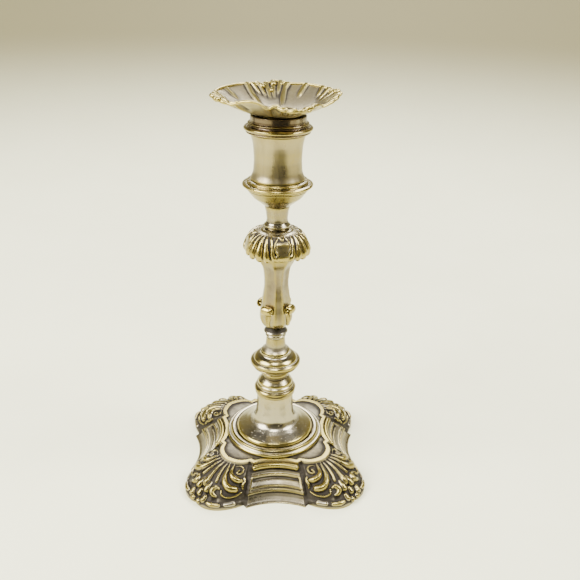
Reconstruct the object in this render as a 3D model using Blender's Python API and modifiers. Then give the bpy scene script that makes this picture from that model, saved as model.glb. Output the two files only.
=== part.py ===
"""A silver-plated candlestick on a square cast base, with a lift-out drip pan and nozzle.

Every casting is threaded on one tie rod. The origin is the centre of the base on the table, +Z is up
and the front panel of the base faces -Y. Lengths in this file are millimetres until MM scales them.
"""

import math

import bmesh
import bpy

MM = 0.001
GAP = 0.3  # clearance between touching pieces

# Heights of the joint lines, from the table up.
DECK_Z = 21.0
COLUMN_TOP_Z = 53.5
RING_KNOP_TOP_Z = 66.9
SPOOL_TOP_Z = 74.0
DISC_TOP_Z = 87.4
CONE_TOP_Z = 98.0
COLLAR_TOP_Z = 106.0
BALUSTER_TOP_Z = 158.5
KNOP_TOP_Z = 176.6
NECK_RING_TOP_Z = 181.0
NECK_TOP_Z = 191.5
BOWL_TOP_Z = 202.6
BODY_BOTTOM_Z = 209.2
BODY_TOP_Z = 236.8
SOCKET_TOP_Z = 248.0
PAN_SEAT_Z = 248.4

# Bores and the rod.
ROD_R = 2.5
ROD_BORE_R = 3.1
CANDLE_R = 11.3  # inside the nozzle, for a 22 mm candle
SLEEVE_R = 13.2
SOCKET_BORE_R = 13.7
TUBE_R = 14.4  # outside of the socket tube where the rings cover it
SLEEVE_BOTTOM_Z = 229.0
SLEEVE_TOP_Z = 249.9

# The base in plan. A side is described by x along it and d out from the centre.
PANEL_TOP = (15.0, 35.3, 3.2)  # half width, distance at the middle, extra distance at the ends
PANEL_FOOT = (19.7, 55.6, 4.4)
CORNER_START = math.radians(20.8)  # direction where a corner begins, from the side's middle
CORNER_FOOT_R = (62.0, 15.7)  # radius at its start and how much it swells
CORNER_DECK = ((17.5, 36.4), (25.5, 37.6), (33.7, 33.7))
LOBES = 7
WALL = 2.0
LOADING_BOTTOM_Z = 7.0
WELL_HOLE_R = 13.0

# The stem's castings and the pan are turned about the axis from the base.
STEM_TURN = math.radians(10.2)
PAN_TURN = math.radians(-2.8)

SEGMENTS = 24

SILVER = (0.62, 0.58, 0.50)
BRASS = (0.60, 0.47, 0.22)
STEEL = (0.45, 0.45, 0.46)
PLASTER = (0.75, 0.72, 0.66)
BAIZE = (0.06, 0.16, 0.09)


def new_material(name, colour, roughness, metallic):
    """A plain Principled material."""
    material = bpy.data.materials.new(name)
    material.use_nodes = True
    shader = material.node_tree.nodes["Principled BSDF"]
    shader.inputs["Base Color"].default_value = (*colour, 1.0)
    shader.inputs["Roughness"].default_value = roughness
    shader.inputs["Metallic"].default_value = metallic
    return material


def add_object(name, mesh, material, parent):
    """Link a mesh as a named part."""
    obj = bpy.data.objects.new(name, mesh)
    obj.data.materials.append(material)
    obj.parent = parent
    PARTS.objects.link(obj)
    return obj


def turned(name, profile, material, parent, segments=SEGMENTS):
    """Turn a profile of (radius, z) pairs. It runs down the outer side and back up the bore.

    A profile whose ends are on the axis is left open there, and any other is closed on itself.
    """
    on_axis = profile[0][0] == 0.0
    points = [(r * MM, 0.0, z * MM) for r, z in profile]
    count = len(points)
    edges = [(i, i + 1) for i in range(count - 1)]
    if not on_axis:
        edges.append((count - 1, 0))
    mesh = bpy.data.meshes.new(name)
    mesh.from_pydata(points, edges, [])
    obj = add_object(name, mesh, material, parent)
    screw = obj.modifiers.new("Turn", "SCREW")
    screw.axis = "Z"
    screw.steps = segments
    screw.render_steps = segments
    screw.use_merge_vertices = True
    screw.merge_threshold = 0.00001
    screw.use_smooth_shade = True
    return obj


def loft(name, rings, material, parent):
    """Join rings of points in order and close the last ring on the first.

    The rings run down the outside and back up the inside, so the solid is a ring round the axis.
    """
    mesh = bpy.data.meshes.new(name)
    shape = bmesh.new()
    rows = [[shape.verts.new((x * MM, y * MM, z * MM)) for x, y, z in ring] for ring in rings]
    for upper, lower in zip(rows, rows[1:] + rows[:1]):
        for i in range(len(upper)):
            j = (i + 1) % len(upper)
            shape.faces.new((upper[i], lower[i], lower[j], upper[j]))
    shape.to_mesh(mesh)
    shape.free()
    obj = add_object(name, mesh, material, parent)
    mesh.shade_smooth()
    mesh.set_sharp_from_angle(angle=math.radians(40))
    return obj


def circle(radius, z, angles):
    """A ring of points at one radius and height."""
    return [(radius * math.cos(a), radius * math.sin(a), z) for a in angles]


def even_angles(count, start=0.0):
    return [start + math.tau * i / count for i in range(count)]


# ---------------------------------------------------------------------------------------- the base

# Sections from the deck's edge to the foot. A panel's is (distance, z) at its middle, and a corner's
# is (share of the way out, z).
PANEL_SECTION = (
    (35.3, 21.0),
    (36.6, 20.2),
    (38.4, 18.4),
    (38.4, 16.4),
    (40.2, 15.4),
    (41.8, 13.2),
    (46.0, 10.4),
    (48.4, 8.8),
    (50.0, 6.6),
    (52.3, 3.4),
    (54.9, 0.8),
    (55.6, 0.0),
)
CORNER_SECTION = (
    (0.0, 21.0),
    (0.08, 20.6),
    (0.22, 19.3),
    (0.36, 17.6),
    (0.50, 15.4),
    (0.62, 13.0),
    (0.74, 10.2),
    (0.84, 7.6),
    (0.90, 5.4),
    (0.94, 3.6),
    (1.0, 2.4),
    (1.0, 0.0),
)
PANEL_STEPS = 5
CORNER_STEPS = 2 * LOBES


def side_columns():
    """Columns along one side: (kind, share), the panel from end to end and then half of each corner."""
    panel = [("panel", -1.0 + 2.0 * i / PANEL_STEPS) for i in range(PANEL_STEPS + 1)]
    corner = [("corner", i / CORNER_STEPS) for i in range(CORNER_STEPS + 1)]
    return panel + corner


def panel_point(share, distance):
    """(x, d) on a panel that is `distance` from the centre at its middle."""
    top_w, top_d, top_bow = PANEL_TOP
    foot_w, foot_d, foot_bow = PANEL_FOOT
    t = (distance - top_d) / (foot_d - top_d)
    width = top_w + (foot_w - top_w) * t
    bow = top_bow + (foot_bow - top_bow) * t
    return share * width, distance + bow * share * share


def mirrored(share, half):
    """A point of a corner from its first half, mirrored across the diagonal after the middle."""
    x, d = half(min(share, 1.0 - share) * 2.0)
    return (x, d) if share <= 0.5 else (d, x)


def corner_foot(share):
    def half(t):
        direction = CORNER_START + (math.pi / 4 - CORNER_START) * t
        radius = CORNER_FOOT_R[0] + CORNER_FOOT_R[1] * math.sin(1.9 * t)
        return radius * math.sin(direction), radius * math.cos(direction)

    return mirrored(share, half)


def corner_deck(share):
    def half(t):
        a, b, c = CORNER_DECK
        weights = ((1 - t) * (1 - 2 * t), 4 * t * (1 - t), t * (2 * t - 1))
        return tuple(sum(w * p[k] for w, p in zip(weights, (a, b, c))) for k in (0, 1))

    return mirrored(share, half)


def corner_point(share, out, z):
    """(x, d, z) on a corner, with the fan of lobes raised in the middle of its section."""
    (x0, d0), (x1, d1) = corner_deck(share), corner_foot(share)
    x, d = x0 + (x1 - x0) * out, d0 + (d1 - d0) * out
    raised = math.sin(math.pi * min(out, 1.0)) ** 0.5 if out > 0.0 else 0.0
    lobe = abs(math.sin(math.pi * LOBES * share)) ** 0.7 * 1.5 - 0.7
    lift = lobe * raised
    reach = math.hypot(x, d)
    return x + x / reach * lift * 0.5, d + d / reach * lift * 0.5, z + lift * 0.8 * (out < 0.95)


def to_side(x, d, z, side):
    """Turn a point of the front side (x along, d out along -Y) to side 0 to 3."""
    px, py = x, -d
    for _ in range(side):
        px, py = -py, px
    return px, py, z


def base_ring(section_index):
    """One ring of the base's outer surface, round all four sides."""
    ring = []
    for side in range(4):
        for kind, share in side_columns():
            if kind == "panel":
                distance, z = PANEL_SECTION[section_index]
                x, d = panel_point(share, distance)
            else:
                out, z = CORNER_SECTION[section_index]
                x, d, z = corner_point(share, out, z)
            ring.append(to_side(x, d, z, side))
    return ring


def inset(ring, amount, z):
    """A ring moved in towards the axis and set at one height."""
    result = []
    for x, y, _ in ring:
        reach = math.hypot(x, y)
        keep = (reach - amount) / reach
        result.append((x * keep, y * keep, z))
    return result


def blend_rings(a, b, t, z):
    """A ring between two rings, at one height."""
    return [(p[0] + (q[0] - p[0]) * t, p[1] + (q[1] - p[1]) * t, z) for p, q in zip(a, b)]


def inner_wall(z, clearance=0.0):
    """The inside of the base's wall at height z, less a clearance."""
    foot = inset(base_ring(len(PANEL_SECTION) - 1), WALL + clearance, z)
    deck = inset(base_ring(0), clearance - 0.6, z)
    return blend_rings(foot, deck, z / INNER_TOP_Z, z)


INNER_TOP_Z = 16.0
PLATE_TOP_Z = DECK_Z - 1.6  # underside of the deck


def ring_angles(ring):
    return [math.atan2(y, x) for x, y, _ in ring]


def build_base(parent):
    outer = [base_ring(i) for i in range(len(PANEL_SECTION))]
    angles = ring_angles(outer[0])
    border = inset(outer[0], 2.6, DECK_Z)
    field = inset(outer[0], 3.2, DECK_Z - 0.5)
    rings = [circle(ROD_BORE_R, DECK_Z - 0.5, angles), field, border, *outer]
    rings += [inner_wall(0.0), inner_wall(INNER_TOP_Z)]
    rings += [inset(outer[0], 2.6, PLATE_TOP_Z), circle(ROD_BORE_R, PLATE_TOP_Z, angles)]
    loft("base_shell", rings, BASE_METAL, parent)


def build_loading(parent):
    angles = ring_angles(base_ring(0))
    top = inset(base_ring(0), 4.0, PLATE_TOP_Z - GAP)
    rings = [
        circle(WELL_HOLE_R, PLATE_TOP_Z - GAP, angles),
        top,
        inner_wall(INNER_TOP_Z, 0.6),
        inner_wall(LOADING_BOTTOM_Z, 0.6),
        circle(WELL_HOLE_R, LOADING_BOTTOM_Z, angles),
    ]
    loft("loading", rings, FILL, parent)


def build_plate(name, low, high, material, parent):
    """A flat plate that closes the base from inside, between two heights."""
    outline = inner_wall(high, 0.5)
    curve = bpy.data.curves.new(name, "CURVE")
    curve.dimensions = "2D"
    curve.fill_mode = "BOTH"
    curve.extrude = (high - low) / 2 * MM
    spline = curve.splines.new("POLY")
    spline.points.add(len(outline) - 1)
    for point, (x, y, _) in zip(spline.points, outline):
        point.co = (x * MM, y * MM, 0.0, 1.0)
    spline.use_cyclic_u = True
    obj = bpy.data.objects.new(name, curve)
    obj.data.materials.append(material)
    obj.location = (0.0, 0.0, (low + high) / 2 * MM)
    obj.parent = parent
    PARTS.objects.link(obj)


# ---------------------------------------------------------------------------------- turned pieces


ROD_TOP_Z = 199.0
TOP_NUT_TOP_Z = 198.4
NUT_R = 4.9
WASHER_R = 11.5
WASHER_THICKNESS = 1.4


def build_rod(parent):
    """Tie rod, its two nuts and the large washer under the deck."""
    turned(
        "tie_rod",
        [(0.0, ROD_TOP_Z), (ROD_R, ROD_TOP_Z), (ROD_R, 6.0), (0.0, 6.0)],
        STEEL_METAL,
        parent,
        16,
    )
    top = PLATE_TOP_Z - GAP
    bottom = top - WASHER_THICKNESS
    hole = ROD_R + GAP
    turned(
        "base_washer",
        [(WASHER_R, top), (WASHER_R, bottom), (hole, bottom), (hole, top)],
        STEEL_METAL,
        parent,
        24,
    )
    nut_top = bottom - GAP
    nut_bore = hole / math.cos(math.pi / 6)
    for name, top, bottom in (
        ("base_nut", nut_top, nut_top - 4.0),
        ("top_nut", TOP_NUT_TOP_Z, TOP_NUT_TOP_Z - 3.4),
    ):
        turned(
            name,
            [(NUT_R, top), (NUT_R, bottom), (nut_bore, bottom), (nut_bore, top)],
            BRASS_METAL,
            parent,
            6,
        )


def cored(outside, top, bottom, core_r, skin):
    """A turned casting's profile: its outside, then a bore that widens into a hollow core."""
    inside = [
        (ROD_BORE_R, bottom),
        (ROD_BORE_R, bottom + skin),
        (core_r, bottom + 1.6 * skin),
        (core_r, top - 1.6 * skin),
        (ROD_BORE_R, top - skin),
        (ROD_BORE_R, top),
    ]
    return [*outside, *inside]


def build_lower_stem(parent):
    """Well ring, column, ring knop, spool, disc, cone and collar."""
    ring_bottom = DECK_Z + GAP
    turned(
        "well_ring",
        [
            (28.0, 24.6),
            (29.4, 25.0),
            (31.2, 24.6),
            (32.2, 23.2),
            (33.4, 23.1),
            (34.6, 22.0),
            (34.6, ring_bottom),
            (28.0, ring_bottom),
        ],
        PLATE_METAL,
        parent,
        40,
    )
    turned(
        "column",
        [
            (12.5, COLUMN_TOP_Z),
            (12.8, 45.0),
            (13.4, 38.5),
            (14.6, 34.0),
            (17.2, 31.0),
            (20.5, 29.3),
            (24.4, 27.6),
            (26.8, 26.2),
            (27.4, 24.8),
            (27.4, 20.9),
            (24.4, 20.9),
            (23.2, 24.4),
            (18.0, 27.4),
            (13.6, 30.4),
            (11.4, 35.0),
            (10.4, 42.0),
            (10.2, 50.0),
            (ROD_BORE_R, 50.0),
            (ROD_BORE_R, COLUMN_TOP_Z),
        ],
        PLATE_METAL,
        parent,
        32,
    )
    low = COLUMN_TOP_Z + GAP
    turned(
        "ring_knop",
        cored(
            [
                (8.8, RING_KNOP_TOP_Z),
                (10.4, 65.6),
                (12.1, 63.4),
                (13.1, 61.4),
                (12.5, 59.9),
                (14.6, 58.4),
                (14.4, 57.0),
                (13.7, 56.4),
                (14.0, 55.0),
                (12.9, low),
            ],
            RING_KNOP_TOP_Z,
            low,
            9.4,
            1.6,
        ),
        PLATE_METAL,
        parent,
    )
    low = RING_KNOP_TOP_Z + GAP
    turned(
        "spool",
        [
            (9.0, SPOOL_TOP_Z),
            (8.5, 71.2),
            (9.2, 70.2),
            (9.1, 69.0),
            (8.3, 68.0),
            (8.6, low),
            (ROD_BORE_R, low),
            (ROD_BORE_R, SPOOL_TOP_Z),
        ],
        PLATE_METAL,
        parent,
    )
    low = SPOOL_TOP_Z + GAP
    turned(
        "disc_knop",
        cored(
            [
                (10.2, DISC_TOP_Z),
                (10.6, 85.6),
                (13.4, 84.2),
                (15.1, 82.2),
                (17.1, 80.6),
                (17.3, 78.8),
                (15.6, 77.0),
                (15.7, 76.0),
                (12.5, 75.0),
                (9.5, low),
            ],
            DISC_TOP_Z,
            low,
            11.6,
            1.6,
        ),
        PLATE_METAL,
        parent,
    )
    low = DISC_TOP_Z + GAP
    turned(
        "stem_cone",
        [
            (6.3, CONE_TOP_Z),
            (6.7, 94.5),
            (7.0, 91.4),
            (8.2, 89.4),
            (9.9, low),
            (ROD_BORE_R, low),
            (ROD_BORE_R, CONE_TOP_Z),
        ],
        PLATE_METAL,
        parent,
    )
    low = CONE_TOP_Z + GAP
    turned(
        "stem_collar",
        [
            (7.2, COLLAR_TOP_Z),
            (8.2, 102.8),
            (6.4, 101.0),
            (7.05, 99.9),
            (6.3, low),
            (ROD_BORE_R, low),
            (ROD_BORE_R, COLLAR_TOP_Z),
        ],
        PLATE_METAL,
        parent,
    )


def build_socket(parent):
    """Neck, its ring, the cup, the candle tube and the rings round it."""
    low = KNOP_TOP_Z + GAP
    turned(
        "neck_ring",
        [
            (7.0, NECK_RING_TOP_Z),
            (8.5, 179.3),
            (8.5, 178.4),
            (7.6, low),
            (ROD_BORE_R, low),
            (ROD_BORE_R, NECK_RING_TOP_Z),
        ],
        PLATE_METAL,
        parent,
    )
    low = NECK_RING_TOP_Z + GAP
    turned(
        "neck",
        [
            (8.0, NECK_TOP_Z),
            (7.2, 187.6),
            (6.7, 183.2),
            (7.0, low),
            (ROD_BORE_R, low),
            (ROD_BORE_R, NECK_TOP_Z),
        ],
        PLATE_METAL,
        parent,
    )
    low = NECK_TOP_Z + GAP
    turned(
        "socket_bowl",
        [
            (19.0, BOWL_TOP_Z),
            (18.6, 201.8),
            (17.0, 199.6),
            (14.8, 197.0),
            (11.6, 194.8),
            (9.0, 192.8),
            (8.2, low),
            (ROD_BORE_R, low),
            (ROD_BORE_R, 194.6),
            (6.8, 194.6),
            (11.0, 198.4),
            (12.0, BOWL_TOP_Z),
        ],
        PLATE_METAL,
        parent,
    )
    tube_bottom = BOWL_TOP_Z + GAP
    floor_top = tube_bottom + 1.6
    floor_r = SOCKET_BORE_R - GAP
    turned(
        "socket_floor",
        [(0.0, floor_top), (floor_r, floor_top), (floor_r, tube_bottom), (0.0, tube_bottom)],
        BRASS_METAL,
        parent,
    )
    ring_bore = TUBE_R + GAP
    foot_top = BODY_BOTTOM_Z - GAP
    turned(
        "socket_foot_ring",
        [
            (17.2, foot_top),
            (19.2, 208.0),
            (18.8, 207.1),
            (22.1, 206.3),
            (22.2, 205.2),
            (20.4, 204.4),
            (20.2, 203.5),
            (17.6, tube_bottom),
            (ring_bore, tube_bottom),
            (ring_bore, foot_top),
        ],
        PLATE_METAL,
        parent,
        32,
    )
    turned(
        "socket_body",
        [
            (TUBE_R, SOCKET_TOP_Z - 0.4),
            (TUBE_R, BODY_TOP_Z),
            (17.0, BODY_TOP_Z),
            (15.8, 232.8),
            (15.0, 227.0),
            (14.8, 220.0),
            (15.3, 213.8),
            (17.0, BODY_BOTTOM_Z),
            (TUBE_R, BODY_BOTTOM_Z),
            (TUBE_R, tube_bottom),
            (SOCKET_BORE_R, tube_bottom),
            (SOCKET_BORE_R, SOCKET_TOP_Z - 0.4),
        ],
        PLATE_METAL,
        parent,
        32,
    )
    rim_bottom = BODY_TOP_Z + GAP
    turned(
        "socket_rim_ring",
        [
            (16.6, SOCKET_TOP_Z),
            (17.1, 247.4),
            (17.2, 244.3),
            (18.7, 243.6),
            (18.0, 242.3),
            (20.9, 241.4),
            (21.1, 239.7),
            (19.5, 238.9),
            (19.8, 238.1),
            (17.4, rim_bottom),
            (ring_bore, rim_bottom),
            (ring_bore, SOCKET_TOP_Z),
        ],
        PLATE_METAL,
        parent,
        32,
    )


# ---------------------------------------------------------------------------------- shaped castings

KNOP_SECTION = (
    (12.1, 176.6),
    (12.5, 175.2),
    (15.6, 173.6),
    (18.4, 171.2),
    (20.2, 168.0),
    (21.3, 164.4),
    (21.8, 161.4),
    (20.2, 159.8),
    (12.9, 158.9),
)


def build_shell_knop(parent):
    """Dome with a fluted shell on each diagonal and a plain cartouche between."""
    angles = even_angles(64, STEM_TURN)
    rings = []
    for radius, z in KNOP_SECTION:
        level = min(1.0, max(0.0, (175.0 - z) / 6.0)) * min(1.0, max(0.0, (z - 159.0) / 2.0))
        ring = []
        for angle in angles:
            local = (angle - STEM_TURN) * 4.0
            shell = max(0.0, -math.cos(local))
            flute = math.cos((angle - STEM_TURN) * 32.0) * 0.5
            r = radius + level * (shell * (0.5 + flute) - 0.5)
            ring.append((r * math.cos(angle), r * math.sin(angle), z))
        rings.append(ring)
    bottom = KNOP_SECTION[-1][1]
    rings.append(circle(11.0, bottom, angles))
    rings.append(circle(16.4, 162.0, angles))
    rings.append(circle(15.0, 168.4, angles))
    rings.append(circle(10.0, 173.0, angles))
    rings.append(circle(ROD_BORE_R, 173.0, angles))
    rings.append(circle(ROD_BORE_R, KNOP_TOP_Z, angles))
    loft("shell_knop", rings, PLATE_METAL, parent)


# (z, radius over the chamfers, radius over the faces as a share of that, how far the scrolls stand out)
BALUSTER_SECTION = (
    (158.5, 12.2, 0.96, 0.0),
    (156.0, 11.9, 0.94, 0.0),
    (153.5, 11.0, 0.91, 0.0),
    (151.0, 9.4, 0.86, 0.0),
    (148.0, 8.7, 0.81, 0.0),
    (144.0, 8.2, 0.79, 0.0),
    (138.0, 7.95, 0.78, 0.0),
    (132.0, 8.6, 0.77, 0.0),
    (128.5, 9.2, 0.78, 0.4),
    (126.5, 9.4, 0.80, 3.4),
    (122.5, 9.8, 0.81, 3.2),
    (118.5, 10.5, 0.86, 0.6),
    (114.0, 11.0, 0.90, 0.3),
    (110.5, 10.8, 0.93, 0.0),
    (106.3, 8.2, 0.97, 0.0),
)


def chamfered_square(angle, over_chamfer, face_share):
    """Radius of a square with its faces on the diagonals and its corners cut off."""
    quarter = math.pi / 2
    to_chamfer = (angle + quarter / 2) % quarter - quarter / 2
    to_face = angle % quarter - quarter / 2
    return min(over_chamfer / math.cos(to_chamfer), over_chamfer * face_share / math.cos(to_face))


def build_baluster(parent):
    angles = even_angles(40, STEM_TURN)
    rings = []
    for z, over_chamfer, face_share, scroll in BALUSTER_SECTION:
        ring = []
        for angle in angles:
            local = angle - STEM_TURN
            to_face = local % (math.pi / 2) - math.pi / 4
            r = chamfered_square(local, over_chamfer, face_share)
            r += scroll * math.exp(-((to_face / 0.27) ** 2))
            ring.append((r * math.cos(angle), r * math.sin(angle), z))
        rings.append(ring)
    bottom = BALUSTER_SECTION[-1][0]
    rings.append(circle(ROD_BORE_R, bottom, angles))
    rings.append(circle(5.4, bottom + 3.0, angles))
    rings.append(circle(5.4, 149.0, angles))
    rings.append(circle(8.4, BALUSTER_TOP_Z, angles))
    loft("baluster", rings, PLATE_METAL, parent)


# ------------------------------------------------------------------------------- the lift-out pan

PAN_HOLE_R = SLEEVE_R + GAP
PAN_WALL = 0.95
PAN_LIP = 0.9
DISH_BOTTOM_Z = 249.5
# The leafy edge is modelled by hand, so it follows no rule: (degrees from the front, radius, z).
PAN_RIM = (
    (-70, 40.8, 260.6),
    (-61, 38.6, 259.4),
    (-50, 34.2, 257.4),
    (-40, 32.0, 259.2),
    (-29, 31.0, 260.0),
    (-19, 30.4, 259.0),
    (-10, 30.4, 256.7),
    (-4, 30.0, 258.2),
    (3, 31.4, 257.0),
    (11, 35.0, 256.4),
    (19, 38.0, 256.8),
    (29, 35.6, 256.2),
    (41, 31.0, 257.6),
    (56, 28.6, 257.0),
    (71, 26.9, 254.7),
    (84, 31.0, 256.4),
    (98, 37.4, 258.8),
    (110, 40.6, 260.0),
    (121, 38.6, 261.2),
    (134, 35.2, 261.9),
    (154, 34.2, 262.5),
    (170, 34.6, 261.7),
    (184, 38.4, 262.3),
    (198, 36.6, 261.0),
    (212, 34.6, 262.0),
    (228, 34.8, 262.6),
    (244, 35.4, 262.1),
    (262, 37.6, 261.4),
    (276, 40.0, 261.3),
)


def pan_rim(angle):
    """(radius, z) of the pan's leafy edge in one direction."""
    first = PAN_RIM[0][0]
    degrees = (math.degrees(angle - PAN_TURN) + 90.0 - first) % 360.0 + first
    closed = [*PAN_RIM, (first + 360, *PAN_RIM[0][1:])]
    for here, there in zip(closed, closed[1:]):
        if degrees <= there[0]:
            break
    t = (degrees - here[0]) / (there[0] - here[0])
    ease = t * t * (3.0 - 2.0 * t)
    return tuple(a + (b - a) * ease for a, b in zip(here[1:], there[1:]))


def build_nozzle(parent):
    """Drip pan and the candle tube fixed in it. They lift out together."""
    angles = even_angles(64)
    edge = [pan_rim(angle) for angle in angles]

    def dish(share, drop):
        """A ring of the dish, which steepens from its hole to its rim."""
        rise = 0.25 * share + 0.75 * share**1.5
        ring = []
        for angle, (radius, top) in zip(angles, edge):
            r = PAN_HOLE_R + (radius - PAN_HOLE_R) * share
            z = DISH_BOTTOM_Z + (top - DISH_BOTTOM_Z) * rise - drop
            ring.append((r * math.cos(angle), r * math.sin(angle), z))
        return ring

    rings = [
        dish(1.0, -PAN_LIP),
        dish(1.0, PAN_LIP),
        dish(0.9, PAN_WALL),
        dish(0.65, PAN_WALL),
        dish(0.35, PAN_WALL),
        circle(16.8, PAN_SEAT_Z, angles),
        circle(PAN_HOLE_R, PAN_SEAT_Z, angles),
        dish(0.0, GAP),
        dish(0.2, 0.0),
        dish(0.45, 0.0),
        dish(0.7, 0.0),
        dish(0.93, 0.0),
    ]
    loft("drip_pan", rings, PLATE_METAL, parent)
    turned(
        "nozzle_sleeve",
        [
            (14.3, SLEEVE_TOP_Z + 0.9),
            (14.6, SLEEVE_TOP_Z + 0.4),
            (14.6, SLEEVE_TOP_Z),
            (SLEEVE_R, SLEEVE_TOP_Z),
            (SLEEVE_R, SLEEVE_BOTTOM_Z),
            (CANDLE_R, SLEEVE_BOTTOM_Z),
            (CANDLE_R, SLEEVE_TOP_Z + 0.9),
        ],
        PLATE_METAL,
        parent,
        32,
    )


# ------------------------------------------------------------------------------------------- main

for old in list(bpy.data.objects):
    bpy.data.objects.remove(old, do_unlink=True)

PARTS = bpy.data.collections.new("candlestick")
bpy.context.scene.collection.children.link(PARTS)

PLATE_METAL = new_material("worn_silver_plate", SILVER, 0.28, 1.0)
BASE_METAL = new_material("worn_plate_on_brass", BRASS, 0.35, 1.0)
BRASS_METAL = new_material("bare_brass", BRASS, 0.4, 1.0)
STEEL_METAL = new_material("rod_steel", STEEL, 0.4, 1.0)
FILL = new_material("plaster", PLASTER, 0.9, 0.0)
CLOTH = new_material("baize", BAIZE, 0.95, 0.0)


def new_empty(name, z):
    empty = bpy.data.objects.new(name, None)
    empty.location = (0.0, 0.0, z * MM)
    PARTS.objects.link(empty)
    return empty


STAND = new_empty("candlestick_frame", 0.0)
NOZZLE = new_empty("nozzle_frame", 0.0)

build_base(STAND)
build_loading(STAND)
build_plate("bottom_plate", 1.5, 2.7, BRASS_METAL, STAND)
build_plate("baize_pad", 0.0, 1.2, CLOTH, STAND)
build_rod(STAND)
build_lower_stem(STAND)
build_baluster(STAND)
build_shell_knop(STAND)
build_socket(STAND)
build_nozzle(NOZZLE)
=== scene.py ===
import math

import bmesh
import bpy
import numpy as np
from mathutils import Matrix, Vector


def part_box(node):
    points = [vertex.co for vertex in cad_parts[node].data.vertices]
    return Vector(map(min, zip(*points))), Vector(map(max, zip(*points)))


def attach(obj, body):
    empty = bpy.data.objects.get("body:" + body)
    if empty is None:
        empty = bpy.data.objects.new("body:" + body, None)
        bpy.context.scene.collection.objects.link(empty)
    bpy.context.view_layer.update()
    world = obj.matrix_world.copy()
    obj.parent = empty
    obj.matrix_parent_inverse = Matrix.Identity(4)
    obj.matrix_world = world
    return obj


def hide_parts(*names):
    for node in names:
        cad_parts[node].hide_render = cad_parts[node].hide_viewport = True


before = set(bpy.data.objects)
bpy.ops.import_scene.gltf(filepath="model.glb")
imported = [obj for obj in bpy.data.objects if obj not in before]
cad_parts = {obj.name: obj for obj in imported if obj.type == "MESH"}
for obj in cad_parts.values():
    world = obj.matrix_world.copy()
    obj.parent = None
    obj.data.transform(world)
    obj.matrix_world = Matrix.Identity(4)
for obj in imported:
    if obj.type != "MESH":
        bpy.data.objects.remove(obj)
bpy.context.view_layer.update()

# A worn silver-plated candlestick. Every visible casting is remade here as a fine mesh in the place
# of its CAD node. Lengths are millimetres until MM scales them; +Z is up and -Y is the front.

MM = 0.001
RNG_SEED = 7

STEM_TURN = math.radians(10.2)  # the stem's castings are turned on the rod from the base
STAND, NOZZLE = "candlestick", "nozzle"
BORE = 3.1

def node_z(node):
    """Lowest and highest z of a CAD node, in millimetres."""
    low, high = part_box(node)
    return low[2] / MM, high[2] / MM

# ---- mesh tools

def neighbours(values, axis, wrap):
    """The points before and after each point of a grid. Without wrap, an end is its own neighbour."""
    before, after = np.roll(values, 1, axis), np.roll(values, -1, axis)
    if not wrap:
        first, last = [slice(None)] * 3, [slice(None)] * 3
        first[axis], last[axis] = 0, -1
        before[tuple(first)], after[tuple(last)] = values[tuple(first)], values[tuple(last)]
    return before, after

def smoothed(points, passes, wrap_rows, wrap_cols):
    """Average each point of a grid with its neighbours, several times."""
    for _ in range(passes):
        for axis, wrap in enumerate((wrap_rows, wrap_cols)):
            before, after = neighbours(points, axis, wrap)
            points = (before + after + 2.0 * points) / 4.0
    return points

def grid_normals(points, wrap_rows, wrap_cols):
    """Unit normals of a grid whose rows run down the outside and whose columns run anticlockwise."""
    above, below = neighbours(points, 0, wrap_rows)
    before, after = neighbours(points, 1, wrap_cols)
    normal = np.cross(below - above, after - before)
    return normal / np.maximum(np.linalg.norm(normal, axis=2, keepdims=True), 1e-9)

def unit(vectors):
    return vectors / np.linalg.norm(vectors, axis=-1, keepdims=True)

def around_axis(radius, angle, z):
    """Points at a distance from the axis, an angle round it and a height, in arrays that broadcast."""
    return np.stack(np.broadcast_arrays(radius * np.cos(angle), radius * np.sin(angle), z), axis=-1)

def full_turn(count):
    return np.arange(count) * math.tau / count

def in_scene(name, data):
    thing = bpy.data.objects.new(name, data)
    bpy.context.scene.collection.objects.link(thing)
    return thing

def grid_piece(name, points, body, node=None, material=None, wrap_rows=True,
               passes=10, reach=0.3, sharp=50, wear_and_painted_shade=0):
    """A mesh from a grid of points (rows, columns, 3), with how far each stands proud as an attribute.

    The attribute adds up what stands proud of its close surroundings and of a wider area, and then
    a wear term, which is positive where hands or polish wear a place and negative where grime stays and where
    painted shade darkens recesses and places where parts meet.
    """
    rows, cols = points.shape[:2]
    normal = grid_normals(points, wrap_rows, True)
    near = smoothed(points, passes, wrap_rows, True)
    far = smoothed(near, 5 * passes, wrap_rows, True)
    relief = ((points - near) * normal).sum(2) / reach + ((points - far) * normal).sum(2) / (4.0 * reach)
    relief = relief + wear_and_painted_shade
    index = np.arange(rows * cols).reshape(rows, cols)
    below = np.roll(index, -1, 0)
    faces = np.stack([index, below, np.roll(below, -1, 1), np.roll(index, -1, 1)], axis=2)
    faces = faces[:rows if wrap_rows else rows - 1].reshape(-1, 4)
    mesh = bpy.data.meshes.new(name)
    mesh.from_pydata((points.reshape(-1, 3) * MM).tolist(), [], faces.tolist())
    attribute = mesh.attributes.new("relief", "FLOAT", "POINT")
    attribute.data.foreach_set("value", np.clip(relief, -1.5, 1.5).astype(np.float32).ravel())
    mesh.shade_smooth()
    mesh.set_sharp_from_angle(angle=math.radians(sharp))
    mesh.validate()
    mesh.materials.append(material or SILVER)
    piece = in_scene(name, mesh)
    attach(piece, body)
    if node:
        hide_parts(node)
    return piece

def corner_arms(last, here, following, radius):
    """A rounded corner: unit vectors back and on from it, its turn, and where the rounding starts."""
    back, on = np.array(last[:2], float) - here, np.array(following[:2], float) - here
    len_back, len_on = np.linalg.norm(back), np.linalg.norm(on)
    back, on = back / len_back, on / len_on
    turn = math.pi - math.acos(float(np.clip(back @ on, -1, 1)))
    return back, on, turn, min(radius * math.tan(turn / 2), 0.48 * len_back, 0.48 * len_on)

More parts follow.
